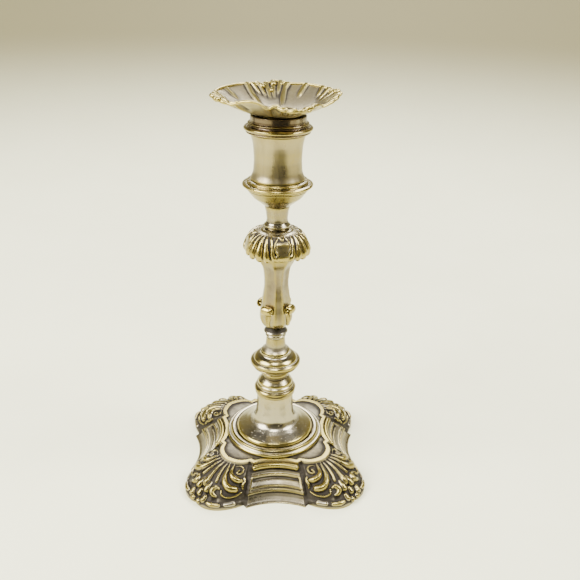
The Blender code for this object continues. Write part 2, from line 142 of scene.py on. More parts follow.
def filleted(corners, step=0.9):
    """A closed outline of (r, z) points from corners (r, z) or (r, z, fillet radius)."""
    count = len(corners)
    outline = []
    for i in range(count):
        here = np.array(corners[i][:2], float)
        radius = corners[i][2] if len(corners[i]) > 2 else 0.12
        back, on, turn, reach = corner_arms(corners[i - 1], here, corners[(i + 1) % count], radius)
        if turn < 0.02:
            outline.append(here)
            continue
        radius = reach / math.tan(turn / 2)
        start, end = here + back * reach, here + on * reach
        centre = here + unit(back + on) * math.hypot(radius, reach)
        steps = max(2, int(math.ceil(turn / math.radians(11))))
        for k in range(steps + 1):
            t = k / steps
            arm = start * (1 - t) + end * t - centre
            outline.append(centre + unit(arm) * radius)
    return refined(np.array(outline), step)

def refined(outline, step):
    """The closed outline with extra points, so that no two are more than a step apart."""
    result = []
    for here, there in zip(outline, np.roll(outline, -1, 0)):
        gap = np.linalg.norm(there - here)
        if gap < 1e-4:
            continue
        parts = max(1, int(math.ceil(gap / step)))
        result.extend(here + (there - here) * k / parts for k in range(parts))
    return np.array(result)

def turned(node, corners, body=STAND, kind="cast", columns=120, material=None, bore=BORE, step=0.9, painted_shade_bands=()):
    """Turn an outline that runs down the outside; the bore closes it.

    The last argument lists bands of painted shade, rows of (lowest z, highest z, amount), that darken those
    heights where the piece meets the next one.
    """
    inside = [p for p in ((bore, corners[-1][1]), (bore, corners[0][1])) if p not in corners]
    outline = filleted([*corners, *inside], step)
    points = around_axis(outline[:, 0, None], full_turn(columns), outline[:, 1, None])
    wear_and_painted_shade = np.zeros((len(outline), 1))
    # Painted shade: the listed heights get a lower relief, so that they come out dark.
    for low, high, amount in painted_shade_bands:
        wear_and_painted_shade[(outline[:, 1] > low) & (outline[:, 1] < high)] -= amount
    grid_piece(f"{node}_{kind}", points, body, node, material=material, wear_and_painted_shade=wear_and_painted_shade)

def through(points, samples):
    """A smooth line through points, any number of values in each."""
    points = np.asarray(points, float)
    padded = np.vstack([2 * points[0] - points[1], points, 2 * points[-1] - points[-2]])
    where = np.linspace(0, len(points) - 1, samples)
    k = np.minimum(where.astype(int), len(points) - 2)
    t = (where - k)[:, None]
    a, b, c, d = (padded[k + j] for j in range(4))
    return 0.5 * (2 * b + (c - a) * t + (2 * a - 5 * b + 4 * c - d) * t**2
                  + (3 * b - a - 3 * c + d) * t**3)

def raised(points, strokes, softness=0.5):
    """Height of relief over each point, in millimetres, from strokes.

    A stroke is rows of (x, y, z, half width, height). Where strokes cross, the higher one counts.
    A softness of 0.5 gives half-round strokes, and more than 1 gives folds that fade out at their sides.
    """
    height = np.zeros(len(points))
    for stroke in strokes:
        path, width, rise = stroke[:, :3], np.maximum(stroke[:, 3], 0.05), stroke[:, 4]
        margin = width.max()
        inside = ((points > path.min(0) - margin) & (points < path.max(0) + margin)).all(1)
        near = np.flatnonzero(inside)
        if not len(near):
            continue
        gap = np.linalg.norm(points[near, None, :] - path[None, :, :], axis=2) / width
        best = gap.argmin(1)
        closest = gap[np.arange(len(near)), best]
        dome = rise[best] * np.maximum(0, 1.0 - closest**2) ** softness
        height[near] = np.maximum(height[near], dome)
    return height

def sunk(points, pits):
    """Depth over each point from pits, rows of (x, y, z, radius, depth)."""
    depth = np.zeros(len(points))
    for x, y, z, radius, deep in pits:
        gap = np.linalg.norm(points - (x, y, z), axis=1) / radius
        depth = np.maximum(depth, deep * np.exp(-(gap**2)))
    return depth

# ---- materials

class Nodes:
    """Short calls for building one material's nodes."""

    def __init__(self, name):
        self.material = bpy.data.materials.new(name)
        self.material.use_nodes = True
        self.tree = self.material.node_tree
        self.shader = self.tree.nodes["Principled BSDF"]
        self.place = self.new("ShaderNodeTexCoord").outputs["Object"]

    def new(self, kind, **settings):
        node = self.tree.nodes.new(kind)
        for key, value in settings.items():
            setattr(node, key, value)
        return node

    def link(self, value, socket):
        if isinstance(value, bpy.types.NodeSocket):
            self.tree.links.new(value, socket)
        else:
            socket.default_value = value

    def noise(self, scale, detail=4, roughness=0.55, stretch=None):
        """Noise over the object, at so many waves a metre."""
        where = self.place
        if stretch:
            mapping = self.new("ShaderNodeMapping")
            mapping.inputs["Scale"].default_value = stretch
            self.link(where, mapping.inputs["Vector"])
            where = mapping.outputs["Vector"]
        node = self.new("ShaderNodeTexNoise")
        node.inputs["Scale"].default_value = scale
        node.inputs["Detail"].default_value = detail
        node.inputs["Roughness"].default_value = roughness
        self.link(where, node.inputs["Vector"])
        return node.outputs["Fac"]

    def math(self, operation, a, b=0, c=0):
        node = self.new("ShaderNodeMath", operation=operation)
        for value, socket in zip((a, b, c), node.inputs):
            self.link(value, socket)
        return node.outputs[0]

    def ramp(self, value, low, high):
        """A smooth step from 0 to 1 as value goes from low to high."""
        node = self.new("ShaderNodeMapRange", interpolation_type="SMOOTHSTEP")
        for name, number in (("Value", value), ("From Min", low), ("From Max", high)):
            self.link(number, node.inputs[name])
        return node.outputs["Result"]

    def mix(self, share, a, b):
        """Mix two colours."""
        node = self.new("ShaderNodeMix", data_type="RGBA")
        colours = [s for s in node.inputs if s.type == "RGBA"]
        self.link(share, node.inputs["Factor"])
        for value, socket in zip((a, b), colours):
            self.link(value if isinstance(value, bpy.types.NodeSocket) else (*value, 1), socket)
        return [s for s in node.outputs if s.type == "RGBA"][0]

    def attribute(self, name):
        return self.new("ShaderNodeAttribute", attribute_name=name).outputs["Fac"]

    def bump(self, height, distance, strength):
        node = self.new("ShaderNodeBump")
        node.inputs["Distance"].default_value = distance
        node.inputs["Strength"].default_value = strength
        self.link(height, node.inputs["Height"])
        self.link(node.outputs["Normal"], self.shader.inputs["Normal"])

    def finish(self, colour, roughness, metallic):
        for value, name in ((colour, "Base Color"), (roughness, "Roughness"), (metallic, "Metallic")):
            self.link(value, self.shader.inputs[name])
        return self.material

SILVER_COLOUR = (0.345, 0.305, 0.215)
WARM_SILVER = (0.3, 0.25, 0.135)
BRASS_COLOUR = (0.335, 0.268, 0.08)
# Dark colour of pits and hollows: real tarnish, and also painted shade in recesses and where parts meet.
TARNISH_AND_PAINTED_SHADE = (0.02, 0.015, 0.008)
STAIN = (0.125, 0.088, 0.062)

def toned(colour, tone):
    return tuple(tone * c for c in colour)

def worn_silver(name, wear=0, dirt_and_shade=0, pits=0, wipes=0, dullness=0, stain=0, tone=1):
    """Silver plate, rubbed through to brass on what stands proud and tarnished in the hollows.

    wipes are fine upright streaks, stain is a brown film in upright runs, and tone makes the metal
    darker or brighter. The dark colour given to the hollows is real tarnish together with painted shade.
    """
    n = Nodes(name)
    relief = n.attribute("relief")
    cloudy = n.noise(38, 5)
    fine = n.noise(420, 4, 0.6)
    uneven = n.math("MULTIPLY_ADD", n.math("SUBTRACT", cloudy, 0.5), 1.1,
                    n.math("MULTIPLY", n.math("SUBTRACT", fine, 0.5), 0.8))
    proud = n.math("ADD", relief, uneven)
    rubbed = n.ramp(proud, 0.35 - wear, 1.25 - wear)
    # Darker where the relief is low: tarnish in the hollows together with painted shade.
    hollow = n.ramp(n.math("ADD", n.math("MULTIPLY", relief, -1), n.math("MULTIPLY", uneven, 0.7)),
                    0.12 - dirt_and_shade, 1.25 - dirt_and_shade)
    film = n.ramp(n.math("SUBTRACT", n.noise(14, 6, 0.6), dullness * -0.4), 0.46, 0.74)
    plate = n.mix(film, toned(SILVER_COLOUR, tone), toned(WARM_SILVER, tone))
    runs = n.ramp(n.noise(150, 5, 0.6, stretch=(1, 1, 0.1)), 0.62 - stain * 0.4, 0.80 - stain * 0.3)
    plate = n.mix(n.math("MULTIPLY", runs, 0.25 + stain * 0.6), plate, STAIN)
    metal = n.mix(rubbed, plate, toned(BRASS_COLOUR, tone))
    spots = n.ramp(n.noise(900, 2, 0.5), 0.735 - pits * 0.1, 0.765 - pits * 0.1)
    spots = n.math("MULTIPLY", spots, n.ramp(n.noise(60, 2), 0.5 - pits * 0.2, 0.62 - pits * 0.2))
    dark = n.math("MAXIMUM", hollow, n.math("MULTIPLY", spots, 0.85))
    colour = n.mix(dark, metal, TARNISH_AND_PAINTED_SHADE)
    streaks = n.noise(260, 3, 0.5, stretch=(1, 1, 0.04))
    rough = n.math("MULTIPLY_ADD", cloudy, 0.16, 0.13 + dullness * 0.16)
    rough = n.math("MULTIPLY_ADD", n.math("SUBTRACT", streaks, 0.5), 0.10 + wipes * 0.3, rough)
    rough = n.math("MULTIPLY_ADD", dark, 0.35, rough)
    rough = n.math("MULTIPLY_ADD", film, 0.05, rough)
    metallic = n.math("MULTIPLY_ADD", dark, -0.4, 1)
    height = n.math("MULTIPLY_ADD", fine, 0.35, n.math("MULTIPLY", spots, -1))
    height = n.math("MULTIPLY_ADD", n.noise(120, 3), 0.8, height)
    n.bump(height, 0.00006, 0.55)
    return n.finish(colour, rough, metallic)

def metal_stock(name, colour, other, roughness):
    """Bare metal with cloudy oxide and fine turning marks."""
    n = Nodes(name)
    cloudy = n.noise(60, 5)
    marks = n.noise(700, 2, 0.5, stretch=(0.15, 0.15, 3))
    tint = n.mix(n.ramp(cloudy, 0.4, 0.7), colour, other)
    n.bump(marks, 0.00005, 0.3)
    return n.finish(tint, n.math("MULTIPLY_ADD", cloudy, 0.25, roughness), 1)

def plaster():
    n = Nodes("cast_plaster")
    grain = n.noise(500, 6, 0.65)
    tint = n.mix(n.ramp(n.noise(45, 4), 0.35, 0.7), (0.72, 0.69, 0.62), (0.55, 0.51, 0.43))
    n.bump(grain, 0.0003, 0.6)
    return n.finish(tint, n.math("MULTIPLY_ADD", grain, 0.1, 0.82), 0)

def baize():
    """Felted wool cloth."""
    n = Nodes("green_baize")
    fibres = n.noise(2600, 5, 0.7, stretch=(1, 0.35, 1))
    blotch = n.noise(50, 3)
    tint = n.mix(n.ramp(fibres, 0.3, 0.75), (0.015, 0.075, 0.035), (0.05, 0.17, 0.085))
    tint = n.mix(n.math("MULTIPLY", n.ramp(blotch, 0.45, 0.8), 0.5), tint, (0.07, 0.12, 0.06))
    n.bump(fibres, 0.0005, 0.8)
    n.shader.inputs["Sheen Weight"].default_value = 0.4
    n.shader.inputs["Sheen Roughness"].default_value = 0.6
    return n.finish(tint, n.math("MULTIPLY_ADD", fibres, 0.1, 0.86), 0)

SILVER = worn_silver("silver_stem", wear=0.5, dirt_and_shade=0.16, wipes=0.4, dullness=0.3, stain=0.5, tone=0.8)
SILVER_RINGS = worn_silver("silver_rings", wear=0.12, dirt_and_shade=0.2, wipes=0.2, stain=0.3, tone=0.82)
RIM_METAL = worn_silver("silver_rim", wear=-0.45, dirt_and_shade=0.1, wipes=0.7, stain=0.95)
FOOT_RING_METAL = worn_silver("silver_foot_ring", wear=0.3, dirt_and_shade=0.1, wipes=0.2)
SILVER_ORNAMENT = worn_silver("silver_ornament", wear=0.4, dirt_and_shade=0.3, dullness=0.1)
SILVER_BASE = worn_silver("silver_base", wear=0.3, dirt_and_shade=0.3, pits=0.35, dullness=0.15, stain=0.3, tone=0.8)
SILVER_COLUMN = worn_silver("silver_column", wear=-0.1, pits=0.75, wipes=0.2)
SILVER_PAN = worn_silver("silver_pan", wear=0.6, dirt_and_shade=0.45, dullness=0.4, stain=0.1)
SOCKET_METAL = worn_silver("silver_socket", wear=-0.1, wipes=0.7, dullness=0.5, stain=0.3)
BARE_BRASS = metal_stock("bare_brass", (0.62, 0.47, 0.22), (0.42, 0.3, 0.15), 0.28)
ROD_STEEL = metal_stock("rod_steel", (0.46, 0.46, 0.47), (0.3, 0.28, 0.26), 0.3)

# ---- turned pieces

def build_socket():
    # The top of the rim ring gets a band of painted shade, under the drip pan.
    turned("socket_rim_ring", [
        (16.3, 248), (17.1, 248, 0.5), (17.15, 245.4, 1), (17.3, 244.3), (18.4, 243.95, 0.2),
        (18.75, 243.5, 0.25), (18.4, 243, 0.2), (17.95, 242.6), (18.1, 242.1), (20.2, 241.8, 0.9),
        (21.15, 240.9, 0.8), (21.1, 239.9, 0.8), (20.3, 239.3, 0.4), (19.4, 239.05), (19.4, 238.7),
        (19.85, 238.5, 0.25), (19.7, 237.9, 0.3), (18.4, 237.5), (17.4, 237.1)],
        material=RIM_METAL, bore=14.7, step=0.5, painted_shade_bands=[(246.9, 248.1, 1.2)])
    turned("socket_body", [
        (14.4, 247.6), (14.4, 236.8), (17, 236.8), (16.6, 235.6, 1.5), (15.25, 230.5, 25),
        (14.75, 220.5, 40), (15.4, 213.2, 9), (16.9, 210, 1.5), (17.1, 209.2), (14.4, 209.2),
        (14.4, 202.9)],
        material=SOCKET_METAL, bore=13.7)
    turned("socket_foot_ring", [
        (17.2, 208.9), (18.8, 208.6), (19.25, 208.2, 0.3), (19.1, 207.6, 0.25), (18.7, 207.3), (18.8, 206.9),
        (20.6, 206.8, 0.4), (22, 206.4, 0.8), (22.3, 205.5, 0.9), (21.9, 204.9, 0.5), (20.6, 204.6),
        (20.3, 204.2), (20.4, 203.7, 0.3), (19.8, 203.2, 0.3), (17.6, 202.9)],
        material=FOOT_RING_METAL, bore=14.7, step=0.5)
    turned("socket_bowl", [
        (19, 202.6), (18.9, 202.2, 0.3), (17.2, 200, 3), (15.4, 197.6, 4), (12, 195, 4),
        (9.2, 192.8, 2.5), (8.2, 191.8)])
    # The foot of the neck gets a band of painted shade, against the neck ring.
    turned("neck", [
        (8.05, 191.5), (7.9, 190.6, 0.6), (7.2, 187.6, 12), (6.7, 183.2, 8), (7, 181.3)],
        painted_shade_bands=[(181.2, 182, 1)])
    turned("neck_ring", [
        (7, 181), (7.5, 180.2, 0.5), (8.5, 179.3, 0.5), (8.55, 178.5, 0.5), (7.8, 177.7, 0.3), (7.6, 176.9)],
        material=SILVER_RINGS, step=0.3)
    turned("nozzle_sleeve", [
        (14.2, 250.8), (14.6, 250.5, 0.3), (14.6, 249.9), (13.2, 249.9), (13.2, 229)],
        body=NOZZLE, kind="tube", bore=11.3)

def build_lower_stem():
    # The top of the collar gets a band of painted shade, under the baluster.
    turned("stem_collar", [
        (5.8, 106), (6.6, 104.9, 2), (8.2, 102.8, 0.12), (7.7, 102.2, 0.3), (6.4, 101.2, 0.6),
        (6.45, 100.6, 0.3),
        (7.05, 100.1, 0.3), (7, 99.5, 0.3), (6.3, 98.9, 0.3), (6.3, 98.3)],
        material=SILVER_RINGS, step=0.35, painted_shade_bands=[(103.4, 106.1, 1.5)])
    turned("stem_cone", [
        (6.3, 98), (6.7, 94.5, 3), (6.95, 91.5, 3), (8, 89.6, 3), (9.8, 88.2, 1.5), (9.9, 87.7)])
    turned("disc_knop", [
        (9.9, 87.4), (10.4, 87.3, 0.3), (10.6, 86.5, 0.4), (10.3, 85.8, 0.3), (10.8, 85.3, 0.5),
        (13.4, 84.2, 5), (15, 82.5, 1.2), (15.1, 81.7), (15.9, 81.5, 0.3), (17.2, 80.6, 0.8),
        (17.35, 79, 0.8), (16.9, 78, 0.3), (15.7, 77.3), (15.5, 76.9), (15.8, 76.5, 0.3),
        (15.5, 75.9, 0.4), (12.5, 75.2, 2), (9.6, 74.6, 0.4), (9.5, 74.3)],
        material=SILVER_RINGS, step=0.5)
    # The top and the foot of the spool get bands of painted shade, between the knops.
    turned("spool", [
        (9, 74), (8.6, 72.5, 2), (8.5, 71.2, 0.5), (9.1, 70.5, 0.3), (9.2, 69.4, 0.3), (8.6, 68.6, 0.4),
        (8.3, 67.8, 0.5), (8.6, 67.2)],
        step=0.3, painted_shade_bands=[(72.6, 74.1, 1.2), (67.1, 67.9, 0.8)])
    turned("ring_knop", [
        (8.8, 66.9), (10.2, 65.8, 1.5), (12, 63.9, 1.5), (12.3, 62.4, 0.3), (12.9, 61.9, 0.3),
        (13.1, 61.2, 0.3), (12.8, 60.5, 0.2), (12.5, 60.1), (12.6, 59.6), (13.9, 59.2, 0.6),
        (14.6, 58.3, 0.7),
        (14.5, 57.2, 0.7), (13.8, 56.7), (13.7, 56.3), (14, 55.6, 0.4), (14, 54.7, 0.4), (13.4, 54.3, 0.3),
        (12.9, 53.8)],
        material=SILVER_RINGS, step=0.35)
    turned("column", [
        (12.5, 53.5), (12.6, 52, 0.3), (12.8, 45, 30), (13.3, 39, 20), (14.3, 34.5, 8),
        (16.6, 31.6, 6), (20.5, 29.4, 9), (24.4, 27.6, 9), (26.2, 26.7, 1), (26.9, 25.8, 0.5),
        (27.3, 25, 0.3), (27.4, 21.3), (22, 21.3), (12, 28), (9.5, 34), (9.5, 48), (BORE, 48)],
        material=SILVER_COLUMN)
    turned("well_ring", [
        (28, 24.6), (28.8, 24.9, 0.5), (30.2, 25, 0.8), (31.3, 24.5, 0.7), (31.9, 23.5, 0.3), (32.3, 23.1),
        (32.7, 23.2, 0.2), (33.6, 23.1, 0.5), (34.3, 22.4, 0.5), (34.5, 21.7, 0.3), (34.5, 21.3)],
        material=SILVER_RINGS, bore=28, step=0.4, columns=160)

# ---- swept ornament

def sweep(name, path, width, depth, body, material=None, across=None, sides=18):
    """A solid bar along a path with round ends. width and depth are its half sizes at each point.

    across is the fixed direction of its width, or None for a bar that is round.
    """
    path = np.asarray(path, float)
    count = len(path)
    width = np.broadcast_to(np.asarray(width, float), count)
    depth = np.broadcast_to(np.asarray(depth, float), count)
    along = unit(np.gradient(path, axis=0))
    if across is None:
        upright = abs(along[:, 2]).max() > 0.9
        side = unit(np.cross(along, (0.31, 0.95, 0) if upright else (0, 0, 1)))
    else:
        side = np.broadcast_to(np.asarray(across, float), (count, 3))
    normal = unit(np.cross(side, along))
    cap_rings = 5
    caps = []
    for end, sign in ((0, -1), (count - 1, 1)):
        caps.append([])
        for k in range(1, cap_rings + 1):
            angle = math.pi / 2 * k / (cap_rings + 0.35)
            centre = path[end] + along[end] * sign * depth[end] * math.sin(angle)
            caps[-1].append((centre, side[end], normal[end], width[end] * math.cos(angle),
                             depth[end] * math.cos(angle)))
    rings = caps[0][::-1] + list(zip(path, side, normal, width, depth)) + caps[1]
    turn = full_turn(sides)
    points = np.array([[c + s * (w * math.cos(a)) + m * (d * math.sin(a)) for a in turn]
                       for c, s, m, w, d in rings])
    piece = grid_piece(name, points, body, None, material, wrap_rows=False, passes=8)
    close_ends(piece.data, len(rings), sides)
    return piece

def close_ends(mesh, rows, cols):
    """Close the two small end rings of a swept bar."""
    shape = bmesh.new()
    shape.from_mesh(mesh)
    shape.verts.ensure_lookup_table()
    shape.faces.new([shape.verts[i] for i in range(cols)][::-1])
    shape.faces.new([shape.verts[(rows - 1) * cols + i] for i in range(cols)])
    bmesh.ops.recalc_face_normals(shape, faces=shape.faces)
    for face in shape.faces:
        face.smooth = True
    shape.to_mesh(mesh)
    shape.free()

def join_as(name, pieces):
    """Join swept bars into one piece."""
    first = pieces[0]
    with bpy.context.temp_override(active_object=first, selected_editable_objects=pieces,
                                   selected_objects=pieces):
        bpy.ops.object.join()
    first.name = name

def spun(points, angle):
    """Points turned about the stem's axis."""
    c, s = math.cos(angle), math.sin(angle)
    result = np.array(points, float)
    x, y = result[..., 0].copy(), result[..., 1].copy()
    result[..., 0], result[..., 1] = c * x - s * y, s * x + c * y
    return result

# ---- base

# A side of the base is described by x along it, d out from the centre, and z.
PANEL_TOP = (15, 35.3, 3.2)
PANEL_FOOT = (19.7, 55.6, 4.4)
CORNER_START = math.radians(20.8)
CORNER_FOOT_R = (61.4, 15.7)
CORNER_DECK = ((17.5, 36.4), (25.5, 37.6), (33.7, 33.7))
DECK_Z = 21.0
FIELD_Z = 20.4
UNDER_DECK_Z = 19.4
ROLL_Z, ROLL_RADIUS = 17.85, 1.95
BASE_ROWS = 150

PANEL_SECTION = [
    (35.3, 21), (35.95, 21, 0.25), (36.05, 20.2, 0.25), (36.3, 18.4, 1.4), (38, 15.7, 0.8),
    (38.9, 15.3, 0.2), (39.3, 15.6, 0.2), (40.3, 15.4, 0.35), (40.8, 14.5, 0.25), (41.3, 14.1, 0.2),
    (41.9, 14.3, 0.3), (42.7, 13.9, 0.4), (42.8, 13, 0.3), (42.5, 12, 0.5), (43.4, 11.1, 0.5),
    (44.3, 11.4, 0.3), (45.4, 10.9, 1.5), (47.3, 9.6, 0.8), (47.5, 9.3, 0.15), (48.2, 9.4, 0.3),
    (48.8, 8.7, 0.3), (48.5, 8, 0.25), (48.9, 7.6, 0.25), (49.8, 7.9, 0.4), (50.9, 6.8, 0.5),
    (50.6, 5.9, 0.3), (50, 5.6, 0.3), (50.4, 4.7, 0.6), (51.7, 3, 2.5), (53.6, 1.3, 2),
    (55.3, 0.7, 0.3), (55.6, 0.3, 0.2), (55.5, 0)]
FRAME_LINE = ((42.9, 13.9), (51, 6.7))
CORNER_SECTION = [
    (0, 21), (0.028, 21, 0.2), (0.034, 20.3, 0.2), (0.06, 18.7, 0.8), (0.12, 18.2, 2),
    (0.22, 17.4, 4), (0.36, 15.6, 6), (0.5, 13.3, 8), (0.62, 10.9, 8), (0.74, 8.2, 6),
    (0.84, 5.6, 3), (0.9, 4, 1), (0.955, 3.3, 0.8), (0.985, 2.2, 0.6), (0.985, 0)]

def open_outline(corners, rows, stretch=1):
    """An open outline with rounded corners, as evenly spaced points. stretch scales its first value."""
    scaled = [(c[0] * stretch, *c[1:]) for c in corners]
    line = [np.array(scaled[0][:2])]
    for i in range(1, len(scaled) - 1):
        here = np.array(scaled[i][:2], float)
        radius = scaled[i][2] if len(scaled[i]) > 2 else 0.1
        back, on, _, reach = corner_arms(scaled[i - 1], here, scaled[i + 1], radius)
        start, end = here + back * reach, here + on * reach
        for t in np.linspace(0, 1, 7):
            line.append(start * (1 - t) ** 2 + 2 * here * t * (1 - t) + end * t * t)
    line.append(np.array(scaled[-1][:2]))
    line = np.array(line)
    length = np.concatenate([[0], np.cumsum(np.linalg.norm(np.diff(line, axis=0), axis=1))])
    where = np.linspace(0, length[-1], rows)
    result = np.stack([np.interp(where, length, line[:, k]) for k in (0, 1)], axis=1)
    result[:, 0] /= stretch
    return result

def corner_half(share, line):
    """Plan points of a corner from a function of its first half, mirrored across the diagonal."""
    t = np.minimum(share, 1.0 - share) * 2.0
    x, d = line(t)
    flip = share > 0.5
    return np.where(flip, d, x), np.where(flip, x, d)

def corner_foot(share):
    def line(t):
        direction = CORNER_START + (math.pi / 4 - CORNER_START) * t
        radius = CORNER_FOOT_R[0] + CORNER_FOOT_R[1] * np.sin(1.9 * t)
        return radius * np.sin(direction), radius * np.cos(direction)

    return corner_half(share, line)

def corner_deck(share):
    def line(t):
        weights = ((1 - t) * (1 - 2 * t), 4 * t * (1 - t), t * (2 * t - 1))
        return tuple(sum(w * p[k] for w, p in zip(weights, CORNER_DECK)) for k in (0, 1))

    return corner_half(share, line)

def corner_ground(share, out, z):
    """(x, d, z) of the surface that a corner's lobes stand on."""
    (x0, d0), (x1, d1) = corner_deck(share), corner_foot(share)
    edge = np.minimum(share, 1.0 - share)
    dip = 1.6 * np.exp(-((edge / 0.022) ** 2)) * np.sin(math.pi * np.clip(out, 0, 1)) ** 0.7
    return np.stack([x0 + (x1 - x0) * out, d0 + (d1 - d0) * out, np.maximum(z - dip, 0)], axis=-1)

# Strokes of one half corner, from the side towards the diagonal: rows of (share, out, half width, height).
HALF_CORNER_STROKES = [
    [(0.3, 0.05, 0.5, 0.6), (0.275, 0.16, 0.9, 1.4), (0.255, 0.28, 1.5, 2.2), (0.2, 0.39, 2.1, 2.8),
     (0.13, 0.46, 2.3, 3), (0.078, 0.49, 1.6, 2.2)],
    [(0.385, 0.05, 0.5, 0.6), (0.348, 0.18, 0.9, 1.4), (0.322, 0.35, 1.5, 2.3), (0.268, 0.51, 2.2, 2.9),
     (0.192, 0.62, 2.7, 3.4), (0.12, 0.655, 2.4, 3)],
    [(0.24, 0.1, 0.4, 0.6), (0.19, 0.09, 0.5, 0.9), (0.13, 0.12, 0.6, 1.2), (0.088, 0.19, 0.7, 1.4),
     (0.09, 0.28, 0.7, 1.4), (0.135, 0.32, 0.7, 1.3), (0.172, 0.27, 0.65, 1.2), (0.15, 0.215, 0.6, 1)],
    [(0.435, 0.05, 0.4, 0.5), (0.418, 0.25, 0.8, 1.5), (0.398, 0.42, 0.95, 1.8), (0.38, 0.53, 0.9, 1.6)],
    [(0.3, 0.64, 0.8, 1.4), (0.342, 0.625, 1.5, 2.3), (0.368, 0.69, 2, 2.7), (0.34, 0.755, 1.7, 2.2),
     (0.3, 0.775, 1, 1.3)],
    [(0.27, 0.66, 0.6, 1.4), (0.245, 0.745, 0.75, 1.9), (0.18, 0.795, 0.8, 2.1), (0.1, 0.79, 0.75, 2),
     (0.045, 0.745, 0.6, 1.5)],
    [(0.436, 0.58, 1, 1.3), (0.438, 0.66, 1.9, 2.4), (0.436, 0.73, 2.1, 2.6)],
    [(0.405, 0.83, 1.4, 1.8), (0.412, 0.9, 2, 2.4)],
    [(0.35, 0.92, 1.3, 1.5), (0.3, 0.935, 1.6, 1.7), (0.235, 0.935, 1.4, 1.4)],
    [(0.462, 0.96, 1.7, 1.7), (0.452, 0.97, 1.6, 1.6)],
    [(0.17, 0.93, 1.6, 1), (0.1, 0.93, 1.8, 1)],
    [(0.04, 0.44, 0.7, 1.5), (0.03, 0.52, 0.9, 1.8), (0.045, 0.6, 0.9, 1.7), (0.036, 0.68, 0.7, 1.4)],
]
DIAGONAL_STROKES = [
    [(0.5, 0.05, 0.5, 0.6), (0.5, 0.24, 0.9, 1.7), (0.5, 0.41, 1.15, 2.1), (0.5, 0.53, 1.7, 2.6),
     (0.5, 0.61, 2.4, 3.1), (0.5, 0.66, 2.1, 2.6)],
    [(0.5, 0.79, 1.8, 2.2), (0.5, 0.85, 2.1, 2.5)],
]
# Pits: (share, out, radius, depth).
HALF_CORNER_PITS = [(0.135, 0.22, 1.3, 1), (0.23, 0.2, 1.4, 0.8), (0.31, 0.52, 1.1, 1), (0.4, 0.78, 1.3, 1.2),
                    (0.3, 0.85, 1.8, 1.3), (0.06, 0.62, 1.2, 1), (0.47, 0.72, 1, 0.9), (0.46, 0.9, 1, 0.9)]
# How a corner is coloured: painted shade together with tarnish blackens its ground, and the tops of its strokes
# are rubbed.
CORNER_WEAR_AND_SHADE = (-0.95, 0.42)
# How much the deck's border is rubbed to brass, and how much darker its field inside it is made.
BORDER_WORN, FIELD_DARKENING = 0.75, -0.20
# How a panel is coloured in bands: (low z, high z, amount). The negative bands are painted shade under the roll
# and in the grooves; the positive bands are rubbed ridges.
PANEL_WEAR_AND_SHADE = [(15.2, 17.6, -1), (13.7, 14.7, 0.45), (11.8, 12.9, -1), (8.9, 9.6, 0.45), (7.9, 8.6, -0.8),
              (6.7, 7.8, 0.45), (4.6, 6.1, -1.1), (0.9, 4.2, 0.1)]

def on_corner(rows, section):
    """Rows of (share, out, ...) as rows of (x, d, z, ...)."""
    rows = np.asarray(rows, float)
    z = np.interp(rows[:, 1], section[:, 0], section[:, 1])
    return np.hstack([corner_ground(rows[:, 0], rows[:, 1], z), rows[:, 2:]])

def mirrored_share(rows):
    return [(1.0 - row[0], *row[1:]) for row in rows]

def corner_relief(section):
    """Every stroke and pit of one corner, in (x, d, z)."""
    strokes = list(DIAGONAL_STROKES)
    for rows in HALF_CORNER_STROKES:
        strokes += [rows, mirrored_share(rows)]
    pits = [*HALF_CORNER_PITS, *mirrored_share(HALF_CORNER_PITS)]
    lines = [on_corner(through(rows, 44), section) for rows in strokes]
    return lines, on_corner(pits, section)

def smooth_step(value, low, high):
    t = np.clip((value - low) / (high - low), 0, 1)
    return t * t * (3.0 - 2.0 * t)

def panel_grid(shares):
    """The outer surface of one panel: (rows, columns, 3) in (x, d, z)."""
    section = open_outline(PANEL_SECTION, BASE_ROWS)
    distance, z = section[:, 0, None], section[:, 1, None]
    (d0, z0), (d1, z1) = FRAME_LINE
    line = d0 + (z0 - z) * (d1 - d0) / (z0 - z1)
    in_frame = (z < z0) & (z > z1)
    upright = smooth_step(np.abs(shares)[None, :], 0.915, 0.945) * in_frame
    distance = distance + np.maximum(line - distance, 0) * upright
    t = (distance - PANEL_TOP[1]) / (PANEL_FOOT[1] - PANEL_TOP[1])
    width = PANEL_TOP[0] + (PANEL_FOOT[0] - PANEL_TOP[0]) * t
    bow = PANEL_TOP[2] + (PANEL_FOOT[2] - PANEL_TOP[2]) * t
    share = shares[None, :]
    wear_and_shade = np.zeros(z.shape)
    for low, high, amount in PANEL_WEAR_AND_SHADE:
        wear_and_shade += amount * smooth_step(z, low - 0.12, low + 0.12) * (1.0 - smooth_step(z, high - 0.12,
                                                                                     high + 0.12))
    post = smooth_step(np.abs(share), 0.91, 0.94) * in_frame
    wear_and_shade = wear_and_shade * (1.0 - post) + 0.40 * post
    # Painted shade at the very ends of the panel, in the groove next to each corner, below the roll.
    edge = smooth_step(np.abs(share), 0.975, 0.995)
    wear_and_shade = wear_and_shade * (1.0 - edge) - 0.9 * edge * (z < 17.8)
    return np.stack(np.broadcast_arrays(share * width, distance + bow * share**2, z, wear_and_shade), axis=2)

